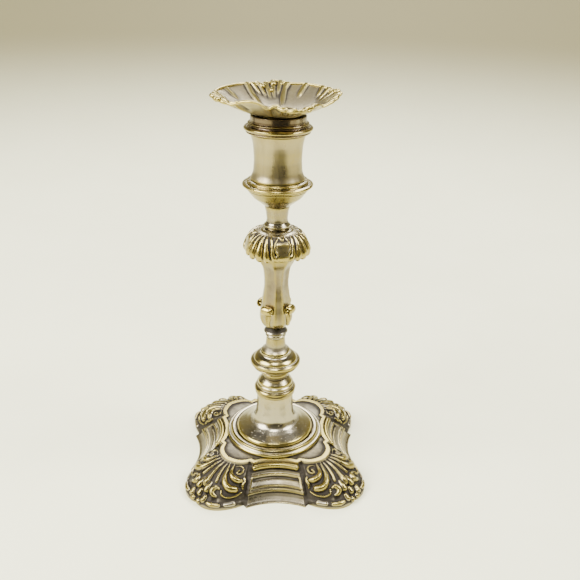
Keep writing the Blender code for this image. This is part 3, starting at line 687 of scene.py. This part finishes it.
def corner_grid(shares):
    """The outer surface of one corner with its relief, in (x, d, z), and its wear and painted shade."""
    section = open_outline(CORNER_SECTION, BASE_ROWS, stretch=28)
    out, z = section[:, 0, None], section[:, 1, None]
    ground = corner_ground(*np.broadcast_arrays(shares[None, :], out, z))
    # (x, d) is left-handed seen from above, so the columns run clockwise and the normal is turned over.
    normal = -grid_normals(ground, False, False)
    normal = unit(smoothed(normal, 10, False, False))
    strokes, pits = corner_relief(section)
    flat = ground.reshape(-1, 3)
    rise = raised(flat, strokes)
    rise -= np.where(rise > 0.6, 0, sunk(flat, pits))
    rise = rise.reshape(out.shape[0], -1, 1)
    fade = smooth_step(out, 0.03, 0.07)[:, :, None] * smooth_step(z, 0, 0.8)[:, :, None]
    result = ground + normal * rise * fade
    result[:, :, 2] = np.maximum(result[:, :, 2], 0)
    # Painted shade together with tarnish darkens the ground between the strokes; their tops are rubbed to brass.
    ground_tarnish_and_shade, top_worn = CORNER_WEAR_AND_SHADE
    wear_and_shade = ground_tarnish_and_shade + (top_worn - ground_tarnish_and_shade) * smooth_step(rise, 0.5, 2)
    return np.concatenate([result, wear_and_shade * smooth_step(out, 0.03, 0.07)[:, :, None]], axis=2)

def side_grid():
    """One side's outer surface in its own frame: its panel and then the corner at its right end."""
    ends = 1.0 - np.geomspace(0.006, 0.12, 9)
    middle = np.linspace(-0.86, 0.86, 33)
    panel_shares = np.concatenate([[-1], -ends, middle, ends[::-1], [1]])
    corner_shares = np.linspace(0, 1, 131)
    return np.concatenate([panel_grid(panel_shares), corner_grid(corner_shares)], axis=1)

def to_sides(grid):
    """Four copies of a side in (x, d, z), as one ring of columns anticlockwise from the front."""
    front = np.stack([grid[..., 0], -grid[..., 1], grid[..., 2]], axis=-1)
    return (np.concatenate([spun(front, k * math.pi / 2) for k in range(4)], axis=1),
            np.concatenate([grid[..., 3]] * 4, axis=1))

def drawn_in(ring, amount, z):
    """A ring moved towards the axis and set at one height."""
    reach = np.linalg.norm(ring[:, :2], axis=1, keepdims=True)
    return np.hstack([ring[:, :2] * (reach - amount) / reach, np.full((len(ring), 1), z)])

def rings_between(a, b, count):
    return [a + (b - a) * k / count for k in range(1, count)]

def build_base():
    outer, outer_wear_and_shade = to_sides(side_grid())
    deck_edge, foot = outer[0], outer[-1]
    angle = np.arctan2(deck_edge[:, 1], deck_edge[:, 0])
    hole = around_axis(BORE, angle, FIELD_Z)
    border_in = drawn_in(deck_edge, 2.3, DECK_Z)
    step_foot = drawn_in(deck_edge, 2.8, FIELD_Z)
    top = [hole, *rings_between(hole, step_foot, 14), step_foot, drawn_in(deck_edge, 2.6, FIELD_Z + 0.12),
           drawn_in(deck_edge, 2.4, DECK_Z - 0.1), border_in, *rings_between(border_in, deck_edge, 7)]
    foot_in, shoulder = drawn_in(foot, 2, 0), drawn_in(deck_edge, -0.6, 16)
    wall = [foot_in, *rings_between(foot_in, shoulder, 8), shoulder, drawn_in(deck_edge, 2.6, UNDER_DECK_Z),
            around_axis(BORE, angle, UNDER_DECK_Z)]
    rings = np.concatenate([np.array(top), outer, np.array(wall)])
    wear_and_painted_shade = np.zeros(rings.shape[:2])
    wear_and_painted_shade[len(top):len(top) + len(outer)] = outer_wear_and_shade
    wear_and_painted_shade[len(top) - 8:len(top) + 3] = BORDER_WORN
    wear_and_painted_shade[:len(top) - 9] = FIELD_DARKENING
    grid_piece("base_shell_cast", rings, STAND, "base_shell", SILVER_BASE, passes=8, reach=0.35,
               wear_and_painted_shade=wear_and_painted_shade)
    share = np.linspace(-0.935, 0.935, 40)
    roll = np.stack([share * 15.2, -37.9 - 3.3 * share**2, np.full(40, ROLL_Z)], axis=1)
    for side, name in enumerate(("front", "right", "back", "left")):
        sweep(f"panel_roll_{name}", spun(roll, side * math.pi / 2), ROLL_RADIUS, ROLL_RADIUS, STAND,
              SILVER_BASE, sides=28)

# ---- knop and baluster

KNOP_SECTION = [
    (8.2, 176.6), (9.6, 176.3, 0.4), (10.6, 175.6, 0.4), (13, 175.2, 2), (15.6, 173.7, 3),
    (17.8, 170.6, 4), (19.2, 166.8, 6), (20, 163.4, 2.5), (19.4, 161.4, 1.4), (17, 160.4, 1.5),
    (12.9, 159.9), (9.5, 159.9), (9, 168), (BORE, 172), (BORE, 176.6)]

# One half of a shell and its side of the cartouche: rows of (degrees from the cartouche, z, half width,
# height).
KNOP_STROKES = [
    [(9, 174.6, 0.4, 0.4), (13.5, 172.6, 0.6, 0.8), (15.2, 169.8, 0.75, 1.1), (13, 167.2, 0.85, 1.2),
     (10.6, 166.2, 0.85, 1.2), (10.2, 164.8, 0.8, 1), (12.2, 164.2, 0.7, 0.9)],
    [(27, 175.1, 0.5, 0.5), (22.5, 172.2, 0.8, 0.9), (20.4, 168.4, 1.2, 1.4), (18.8, 165.2, 1.6, 1.7),
     (15.6, 163, 1.6, 1.7), (11, 162.2, 1.1, 1.2)],
    [(36.5, 175.1, 0.5, 0.5), (34, 172.2, 1, 1.1), (32.2, 168.2, 1.6, 1.7), (30.8, 164.8, 2.1, 2.1),
     (29, 162.6, 2.1, 2)],
    [(45, 175.2, 0.6, 0.5), (45, 172.2, 1.2, 1.2), (45, 168, 2.1, 1.9), (45, 164.6, 2.6, 2.3),
     (45, 162.4, 2.5, 2)],
    [(8, 161.9, 0.8, 0.8), (0, 161.5, 0.9, 0.9)],
    [(8, 174.9, 0.5, 0.5), (4, 174.2, 0.6, 0.7), (0.5, 173.2, 0.7, 0.8)],
]
KNOP_PITS = [(14.6, 164.4, 1, 1.4), (24.2, 164, 1.1, 1.5), (37.8, 163.6, 1.1, 1.5), (25.6, 169, 0.7, 0.9),
             (38.4, 169, 0.8, 0.9)]
# How the knop is coloured: painted shade together with tarnish blackens its valleys, and its ridges are rubbed.
KNOP_WEAR_AND_SHADE = (-0.9, 0.35)
KNOP_COLUMNS = 420

def around(rows, turn, shell):
    """Rows of (degrees, z, ...) as rows of (x, y, z, ...) on a turned surface whose outline is shell."""
    rows = np.asarray(rows, float)
    radius = np.interp(rows[:, 1], shell[:, 1], shell[:, 0])
    return np.hstack([around_axis(radius, np.radians(rows[:, 0]) + turn, rows[:, 1]), rows[:, 2:]])

def build_shell_knop():
    outline = refined(filleted(KNOP_SECTION, 0.45), 0.45)
    reach, angle = outline[:, 0, None], full_turn(KNOP_COLUMNS)
    points = around_axis(reach, angle, outline[:, 1, None])
    shell = [p for p in outline if p[0] > 11.0 and 160.2 < p[1] < 175.7]
    shell = np.array(sorted(shell, key=lambda p: p[1]))
    strokes, pits = [], []
    for quarter in range(4):
        for mirror in (1, -1):
            turn = STEM_TURN + quarter * math.pi / 2
            for rows in KNOP_STROKES:
                flipped = [(mirror * r[0], *r[1:]) for r in rows]
                strokes.append(around(through(flipped, 40), turn, shell))
            pits.append(around([(mirror * p[0], *p[1:]) for p in KNOP_PITS], turn, shell))
    normal = grid_normals(points, True, True)
    flat = points.reshape(-1, 3)
    rise = raised(flat, strokes) * 1.3
    rise -= np.where(rise > 0.9, 0, 1.5 * sunk(flat, np.concatenate(pits)))
    local = (angle - STEM_TURN) % (math.pi / 2)
    off_centre = np.degrees(np.minimum(local, math.pi / 2 - local))
    height = points[:, :, 2]
    cartouche = (1.0 - smooth_step(off_centre, 11, 14))[None, :] * smooth_step(height, 160.9, 162)
    cartouche = cartouche * (1.0 - smooth_step(height, 171, 174)) * (reach**2 > 150)
    outside = (reach > 10.8) & (height > 160.1)
    total = np.maximum(rise.reshape(height.shape), 1.1 * cartouche) * outside
    valley, ridge = KNOP_WEAR_AND_SHADE
    wear_and_shade = (valley + (ridge - valley) * smooth_step(total, 0.25, 1.5)) * outside * (height > 161)
    wear_and_shade = wear_and_shade * (1.0 - smooth_step(height, 174.6, 175.4))
    points = points + normal * total[:, :, None]
    grid_piece("shell_knop_cast", points, STAND, "shell_knop", material=SILVER_ORNAMENT, passes=8,
               wear_and_painted_shade=wear_and_shade)

# (z, half size over the chamfers, half size over the faces, how hollow the faces are)
BALUSTER_SECTION = [
    (158.5, 12.2, 11.9, 0), (156.5, 12, 11.6, 0), (153.8, 11, 10.5, 0.1), (151.2, 9.6, 9.2, 0.3),
    (148.5, 8.8, 8.25, 0.4), (144, 8.2, 7.6, 0.45), (138, 7.95, 7.2, 0.45), (132, 8.6, 7.7, 0.4),
    (128, 9.2, 8.3, 0.35), (123, 9.8, 8.9, 0.3), (118.5, 10.5, 9.5, 0.15), (114, 10.9, 9.9, 0),
    (111, 10.4, 9.6, -0.1), (108.5, 8.9, 8.4, -0.15), (107, 7.2, 7, -0.1), (106.3, 6.3, 6.3, 0)]

BALUSTER_BORE = 4.6
BALUSTER_SHARPNESS = 30.0  # of the edges between its faces and chamfers

def build_baluster():
    angle = full_turn(256)
    quarter = math.pi / 2
    to_chamfer = (angle + quarter / 2) % quarter - quarter / 2
    to_face = angle % quarter - quarter / 2
    rings = []
    for z, over_chamfer, over_face, hollow in through(BALUSTER_SECTION, 130):
        chamfer = over_chamfer / np.cos(to_chamfer)
        face = over_face / np.cos(to_face) - hollow * np.cos(np.clip(to_face * 2.2, -1.57, 1.57)) ** 2
        radius = (chamfer**-BALUSTER_SHARPNESS + face**-BALUSTER_SHARPNESS) ** (-1.0 / BALUSTER_SHARPNESS)
        rings.append(around_axis(radius, angle, z))
    rings += [around_axis(BALUSTER_BORE, angle, z) for z in np.linspace(106.3, 158.5, 12)]
    grid_piece("baluster_cast", spun(rings, STEM_TURN), STAND, "baluster", sharp=40)
    for k, name in enumerate(("front_right", "back_right", "back_left", "front_left")):
        build_scroll(f"baluster_scroll_{name}", STEM_TURN - quarter / 2 + k * quarter)

def build_scroll(name, direction):
    """A leaf that climbs a face of the baluster and rolls over at its top."""
    climb = [(9.7, 109.6), (10.2, 112.4), (10, 115.4), (9.4, 118.4), (9.2, 121.2), (10, 123.3), (11.4, 123.7),
             (12.8, 122.6), (13.2, 120.8), (12.4, 119.2), (11.1, 118.8), (10.2, 119.6), (10.4, 120.9),
             (11.4, 121.2)]
    line = through(climb, 60)
    share = np.linspace(0, 1, 60)
    width = 1.4 + 2.3 * smooth_step(share, 0, 0.42) - 0.7 * smooth_step(share, 0.7, 1)
    depth = 0.50 + 0.30 * smooth_step(share, 0.2, 0.5)
    outward = np.array((math.cos(direction), math.sin(direction), 0))
    across = np.array((-math.sin(direction), math.cos(direction), 0))
    path = around_axis(line[:, 0], direction, line[:, 1])
    leaf = sweep(name, path, width, depth, STAND, across=across, sides=22, material=SILVER_ORNAMENT)
    veins = []
    for offset in (-1, 0, 1):
        rows = share < 0.62
        vein = path[rows] + outward * 0.45 + across * (offset * (width[rows] * 0.55))[:, None]
        veins.append(sweep(f"{name}_vein_{offset:.0f}", vein, 0.42, 0.34, STAND, across=across, sides=10,
                           material=SILVER_ORNAMENT))
    join_as(name, [leaf, *veins])

# ---- drip pan

PAN_TURN = math.radians(-2.8)
PAN_HOLE = 13.5
PAN_WALL = 0.95
PAN_FLOOR, PAN_SEAT = 249.5, 248.4  # heights of the dish and of its underside, at the hole
# The leafy edge, round from the front towards the right: (degrees, radius, z).
PAN_RIM = [
    (-70, 39.2, 259.6), (-61, 37.4, 258.6), (-50, 34.2, 257.4), (-40, 32, 259.2), (-29, 31, 260),
    (-19, 30.4, 259), (-10, 30.4, 256.7), (-4, 30, 258.2), (3, 31.4, 257), (11, 35, 256.4),
    (19, 38, 256.8), (29, 35.6, 256.2), (41, 31, 257.6), (56, 28.6, 257), (71, 26.9, 254.7),
    (84, 31, 256.4), (98, 35.8, 258.8), (110, 38, 260), (121, 36.8, 261), (134, 35.2, 261.9),
    (154, 34.2, 262.3), (170, 34.6, 261.7), (184, 38.4, 262.3), (198, 36.6, 261), (212, 34.6, 262),
    (228, 34.8, 262.4), (244, 35.4, 262.1), (262, 37.6, 261.4), (276, 38.6, 260.5)]
PAN_CORNERS = (-70, 19, 110, 191)
# Ribs that run up each corner: (degrees off its middle, where it starts, half width, height).
PAN_RIBS = [(-20, 0.6, 2.3, 1.3), (-12, 0.48, 2.5, 1.6), (-4, 0.4, 2.6, 1.7), (4, 0.4, 2.6, 1.7),
            (12, 0.48, 2.5, 1.6), (20, 0.6, 2.3, 1.3)]
# Folds in the dish: (degrees, start, end, half width, height).
PAN_FOLDS = [(-143, 0.12, 0.97, 2.5, 1.3), (173, 0.08, 0.97, 2.1, 1.2), (150, 0.45, 0.98, 2.2, 0.9),
             (-12, 0.35, 0.98, 2.6, 1.2), (72, 0.2, 0.98, 2.8, 1.4), (-46, 0.35, 0.98, 2.8, 1.2),
             (52, 0.45, 0.98, 2.2, 0.9), (-112, 0.5, 0.98, 2.2, 0.8)]
PAN_EDGE_THICK = 1.15

def pan_rim(degrees):
    """(radius, z) of the rim in each direction, on a smooth closed line."""
    rim = np.array(PAN_RIM, float)
    closed = np.vstack([rim[-2:] - (360, 0, 0), rim, rim[:2] + (360, 0, 0)])
    line = through(closed, 12 * len(closed))
    return (np.interp(degrees, line[:, 0], line[:, 1]), np.interp(degrees, line[:, 0], line[:, 2]))

def pan_angle(degrees):
    """The angle about the stem of a direction counted from the front towards the right."""
    return np.radians(degrees - 90) + PAN_TURN

def pan_arms(degrees, tilt):
    """Outward with an upward tilt, and across, in one direction of the pan."""
    c, s = math.cos(pan_angle(degrees)), math.sin(pan_angle(degrees))
    return np.array((c, s, tilt)), np.array((-s, c, 0))

def pan_point(degrees, share, lift=0):
    """A point of the dish: share 0 at the hole and 1 on the rim."""
    degrees = (np.asarray(degrees, float) + 75) % 360.0 - 75.0
    radius, top = pan_rim(degrees)
    share = np.asarray(share, float)
    z = PAN_FLOOR + (top - PAN_FLOOR) * (0.25 * share + 0.75 * share**1.5) + lift
    return around_axis(PAN_HOLE + (radius - PAN_HOLE) * share, pan_angle(degrees), z)

def build_pan():
    columns = 440
    degrees = -75.0 + np.arange(columns) * 360.0 / columns
    shares = np.linspace(0, 1, 46)[:, None]
    top = pan_point(degrees, shares)
    strokes = []
    fading_in = smooth_step(np.linspace(0.03, 1, 30), 0, 0.5)
    for corner in PAN_CORNERS:
        for off, start, width, height in PAN_RIBS:
            where = np.linspace(start, 0.97, 30)
            swell = np.linspace(0.55, 1, 30)
            line = pan_point(corner + off * (0.35 + 0.65 * where), where)
            strokes.append(np.column_stack([line, width * swell, height * swell * fading_in]))
    for at, start, end, width, height in PAN_FOLDS:
        where = np.linspace(start, end, 30)
        line = pan_point(at + 2.0 * np.sin(3.0 * where), where)
        strokes.append(np.column_stack([line, width * (0.6 + 0.4 * fading_in), height * fading_in]))
    rise = raised(top.reshape(-1, 3), strokes, softness=1.1).reshape(46, columns)
    normal = grid_normals(top[::-1], False, True)[::-1]
    normal = normal * np.sign(normal[:, :, 2:3] + 1e-6)
    upper = top + normal * rise[:, :, None]
    thin = PAN_WALL * (0.75 + 0.25 * (1.0 - shares))
    lower = top + normal * rise[:, :, None] * 0.55 - normal * thin[:, :, None]
    seat = smooth_step(shares, 0, 0.16)
    lower[:, :, 2] = PAN_SEAT * (1.0 - seat) + lower[:, :, 2] * seat
    points = np.concatenate([lower[::-1], upper])
    grid_piece("drip_pan_cast", points, NOZZLE, "drip_pan", material=SILVER_PAN, passes=8)
    build_pan_edge(degrees)
    build_pan_beads()

def build_pan_edge(degrees):
    """The thick rolled lip all along the rim."""
    count = 3 * len(degrees) // 2
    around_rim = -75.0 + np.arange(count) * 360.0 / count
    path = pan_point(around_rim, 0.985, -0.15)
    along = unit(np.roll(path, -1, 0) - np.roll(path, 1, 0))
    side = unit(np.cross(along, (0, 0, 1)))
    up = np.cross(side, along)
    leafy = sum(np.exp(-(((around_rim - corner + 180) % 360.0 - 180) / 24) ** 2) for corner in PAN_CORNERS)
    scallop = np.abs(np.sin(np.radians(around_rim) * 20)) ** 0.7 - 0.5
    thick = PAN_EDGE_THICK * (0.72 + 0.10 * np.sin(np.radians(around_rim) * 9) + leafy * (0.18 + 0.42 * scallop))
    path = path + side * (leafy * 0.5 * scallop)[:, None]
    turn = -np.arange(14) * math.tau / 14
    rings = [path + side * (thick * 1.15 * math.cos(a))[:, None] + up * (thick * math.sin(a))[:,
                                                                                              None] for a in turn]
    grid_piece("drip_pan_lip", np.array(rings), NOZZLE, material=SILVER_PAN, passes=6)

# Curled scrolls at the corners: (degrees, share, lift, size, turns).
PAN_SCROLLS = [(33, 0.93, 0.6, 2.9, 1.2), (14, 0.98, 0.4, 2, 0.9), (24, 0.99, 0.2, 1.8, 0.9),
               (5, 0.97, 0.5, 1.7, 0.8), (-61, 0.92, 0.4, 3.3, 1.1), (-76, 0.91, 0.1, 3.1, 1.1),
               (-68, 0.78, 0.6, 1.7, 0.9), (203, 0.97, 0, 2.2, 1), (102, 0.97, 0, 1.9, 0.9),
               (119, 0.93, 0, 2, 0.9)]
# Round beads: (degrees, share, lift, radius).
PAN_BEADS = [(200, 0.86, 0.9, 2), (187, 0.9, 0.2, 2.3), (178, 0.94, -0.4, 1.8), (190, 0.68, 0.9, 1.6),
             (111, 0.98, 0.3, 1.9), (106, 1.03, -0.6, 1.3), (43, 0.96, 0.2, 1.3), (-66, 0.99, -0.2, 1.7)]

def build_pan_beads():
    """Small curls, each a bar that winds in on itself, and round beads."""
    pieces = []
    for k, (at, share, lift, size, turns) in enumerate(PAN_SCROLLS):
        centre = pan_point(at, share, lift)
        along = np.linspace(0, 1, 34)
        wind = along * turns * math.tau
        radius = size * (1.0 - 0.66 * along)
        outward, across = pan_arms(at, 0.35)
        hand = 1.0 if k % 2 else -1.0
        path = centre + outward * (radius * np.cos(wind))[:,
                                                          None] + across * (hand * radius * np.sin(wind))[:,
                                                                                                          None]
        thick = size * (0.44 - 0.12 * along)
        pieces.append(sweep(f"drip_pan_scroll_{k}", path, thick, thick, NOZZLE, sides=12,
                            material=SILVER_PAN))
        eye = centre + np.linspace(-0.1, 0.1, 4)[:, None] * size * outward
        pieces.append(sweep(f"drip_pan_eye_{k}", eye, 0.42 * size, 0.42 * size, NOZZLE, sides=12,
                            material=SILVER_PAN))
    for k, (at, share, lift, radius) in enumerate(PAN_BEADS):
        path = pan_point(at, share, lift) + np.linspace(-0.35, 0.35, 5)[:, None] * radius * pan_arms(at,
                                                                                                     0.25)[0]
        swell = radius * np.array((0.86, 0.97, 1, 0.97, 0.86))
        pieces.append(sweep(f"drip_pan_bead_{k}", path, swell, swell, NOZZLE, sides=18, material=SILVER_PAN))
    join_as("drip_pan_scrolls", pieces)

# ---- hidden CAD pieces

def cover_plain_nodes():
    """Finish the CAD pieces that stay as they are."""
    for name, material in (("tie_rod", ROD_STEEL), ("base_washer", ROD_STEEL), ("base_nut", BARE_BRASS),
                           ("top_nut", BARE_BRASS), ("socket_floor", BARE_BRASS),
                           ("bottom_plate", BARE_BRASS),
                           ("loading", plaster())):
        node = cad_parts[name]
        node.data.materials.clear()
        node.data.materials.append(material)

def build_baize():
    """The cloth pad under the base: the plate's outline with a soft, slightly frayed edge."""
    outline = to_sides(side_grid()[-1:])[0][0][::3]
    reach = np.linalg.norm(outline[:, :2], axis=1, keepdims=True)
    random = np.random.default_rng(RNG_SEED)
    fray = 4.2 + random.normal(0, 0.05, (len(outline), 1))
    edge = outline[:, :2] * (reach - fray) / reach
    low, high = node_z("baize_pad")
    rings = []
    for keep, z in ((0.02, low), (0.5, low), (0.985, low), (0.998, low + 0.25), (1, (low + high) / 2),
                    (0.998, high - 0.25), (0.985, high), (0.5, high), (0.02, high)):
        rings.append(np.hstack([edge * keep, np.full((len(edge), 1), z)]))
    pad = grid_piece("baize_cloth", np.array(rings[::-1]), STAND, "baize_pad", baize(), passes=1,
                     sharp=80)

# ---- stage and light

def stage_material():
    """Paper that is white on the floor, with painted shade that makes it greyer up the wall."""
    n = Nodes("paper_backdrop")
    split = n.new("ShaderNodeSeparateXYZ")
    n.link(n.place, split.inputs["Vector"])
    # Painted shade: the paper darkens from the floor up the wall.
    wall = n.ramp(split.outputs["Z"], 0, 0.23)
    grain = n.ramp(n.noise(14, 5), 0.35, 0.7)
    floor = n.mix(grain, (0.85, 0.84, 0.59), (0.83, 0.82, 0.57))
    return n.finish(n.mix(wall, floor, (0.165, 0.145, 0.066)), 0.75, 0)

def build_stage():
    """A pale paper floor that curves up into a round wall, so that it looks the same from every side."""
    outline = [(0.001, 0), (0.36, 0)]
    outline += [(0.36 + 0.85 * math.sin(a), 0.85 - 0.85 * math.cos(a)) for a in np.linspace(0.05,
                                                                                            math.pi / 2, 40)]
    outline.append((1.21, 1.9))
    angles = np.arange(128) * math.tau / 128
    points = np.array([[(r * math.cos(a), r * math.sin(a), z) for a in angles] for r, z in outline])
    rows, cols = points.shape[:2]
    faces = [(i * cols + j, i * cols + (j + 1) % cols, (i + 1) * cols + (j + 1) % cols, (i + 1) * cols + j)
             for i in range(rows - 1) for j in range(cols)]
    faces.append(tuple(range(cols))[::-1])
    mesh = bpy.data.meshes.new("paper_backdrop")
    mesh.from_pydata(points.reshape(-1, 3).tolist(), [], faces)
    mesh.shade_smooth()
    mesh.materials.append(stage_material())
    in_scene("paper_backdrop", mesh)

LIGHT_AIM = (0, 0, 0.08)

def area_light(name, place, size, power):
    light = bpy.data.lights.new(name, "AREA")
    light.shape = "RECTANGLE"
    light.size, light.size_y = size
    light.energy = power
    lamp = in_scene(name, light)
    lamp.location = place
    lamp.rotation_euler = (Vector(LIGHT_AIM) - Vector(place)).to_track_quat("-Z", "Y").to_euler()

def dark_card(name, place, width, height):
    """A dark upright oval that only reflections show, as the dim side of a room would be."""
    x, y, z = place
    reach = math.hypot(x, y)
    across = np.array((-y, x, 0)) / reach * width / 2
    up = np.array((0, 0, height / 2))
    turn = np.arange(48) * math.tau / 48
    rim = np.array(place) + np.outer(np.cos(turn), across) + np.outer(np.sin(turn), up)
    mesh = bpy.data.meshes.new(name)
    mesh.from_pydata(rim.tolist(), [], [tuple(range(48))])
    n = Nodes(name)
    felt = n.noise(30, 3)
    mesh.materials.append(n.finish(n.mix(felt, (0.03, 0.028, 0.025), (0.05, 0.046, 0.04)), 0.95, 0))
    card = in_scene(name, mesh)
    card.visible_camera = card.visible_diffuse = card.visible_shadow = False

def build_lights():
    world = bpy.data.worlds.new("soft_room")
    world.use_nodes = True
    world.node_tree.nodes["Background"].inputs["Color"].default_value = (1, 0.985, 0.93, 1)
    world.node_tree.nodes["Background"].inputs["Strength"].default_value = 0.18
    bpy.context.scene.world = world
    area_light("left_softbox", (-0.85, -0.3, 0.9), (0.7, 0.7), 40)
    area_light("right_softbox", (0.8, -0.15, 1), (0.5, 0.5), 24)
    area_light("high_softbox", (-0.05, -0.42, 1.2), (0.35, 0.35), 12)
    area_light("back_softbox", (0.1, 0.95, 1), (0.6, 0.5), 17)
    dark_card("dim_room_front", (0.05, -0.34, 0.19), 0.52, 0.31)
    dark_card("dim_room_above", (0.04, -0.5, 0.62), 0.56, 0.44)
    dark_card("dim_room_right", (0.72, 0.2, 0.3), 0.22, 0.75)
    dark_card("dim_room_left", (-0.66, 0.34, 0.3), 0.18, 0.75)

CAMERA_FOCAL_PIXELS = 693.0
PICTURE_WIDTH = 580.0

def build_camera():
    """The viewing angle: the base turned 2.8 degrees, looking down 24.6 degrees, rolled 1.3."""
    camera = bpy.data.cameras.new("view")
    camera.sensor_width = 36.0
    camera.lens = 36.0 * CAMERA_FOCAL_PIXELS / PICTURE_WIDTH
    camera.dof.use_dof = False
    view = in_scene("view", camera)
    view.location = (-0.01138, -0.42005, 0.3252)
    turn = Matrix.Rotation(math.radians(-2.8), 4, "Z") @ Matrix.Rotation(math.radians(90.0 - 24.59), 4, "X")
    view.rotation_euler = (turn @ Matrix.Rotation(math.radians(1.26), 4, "Z")).to_euler()
    bpy.context.scene.camera = view

build_camera()
build_stage()
build_lights()
build_socket()
build_lower_stem()
build_base()
build_shell_knop()
build_baluster()
build_pan()
cover_plain_nodes()
build_baize()
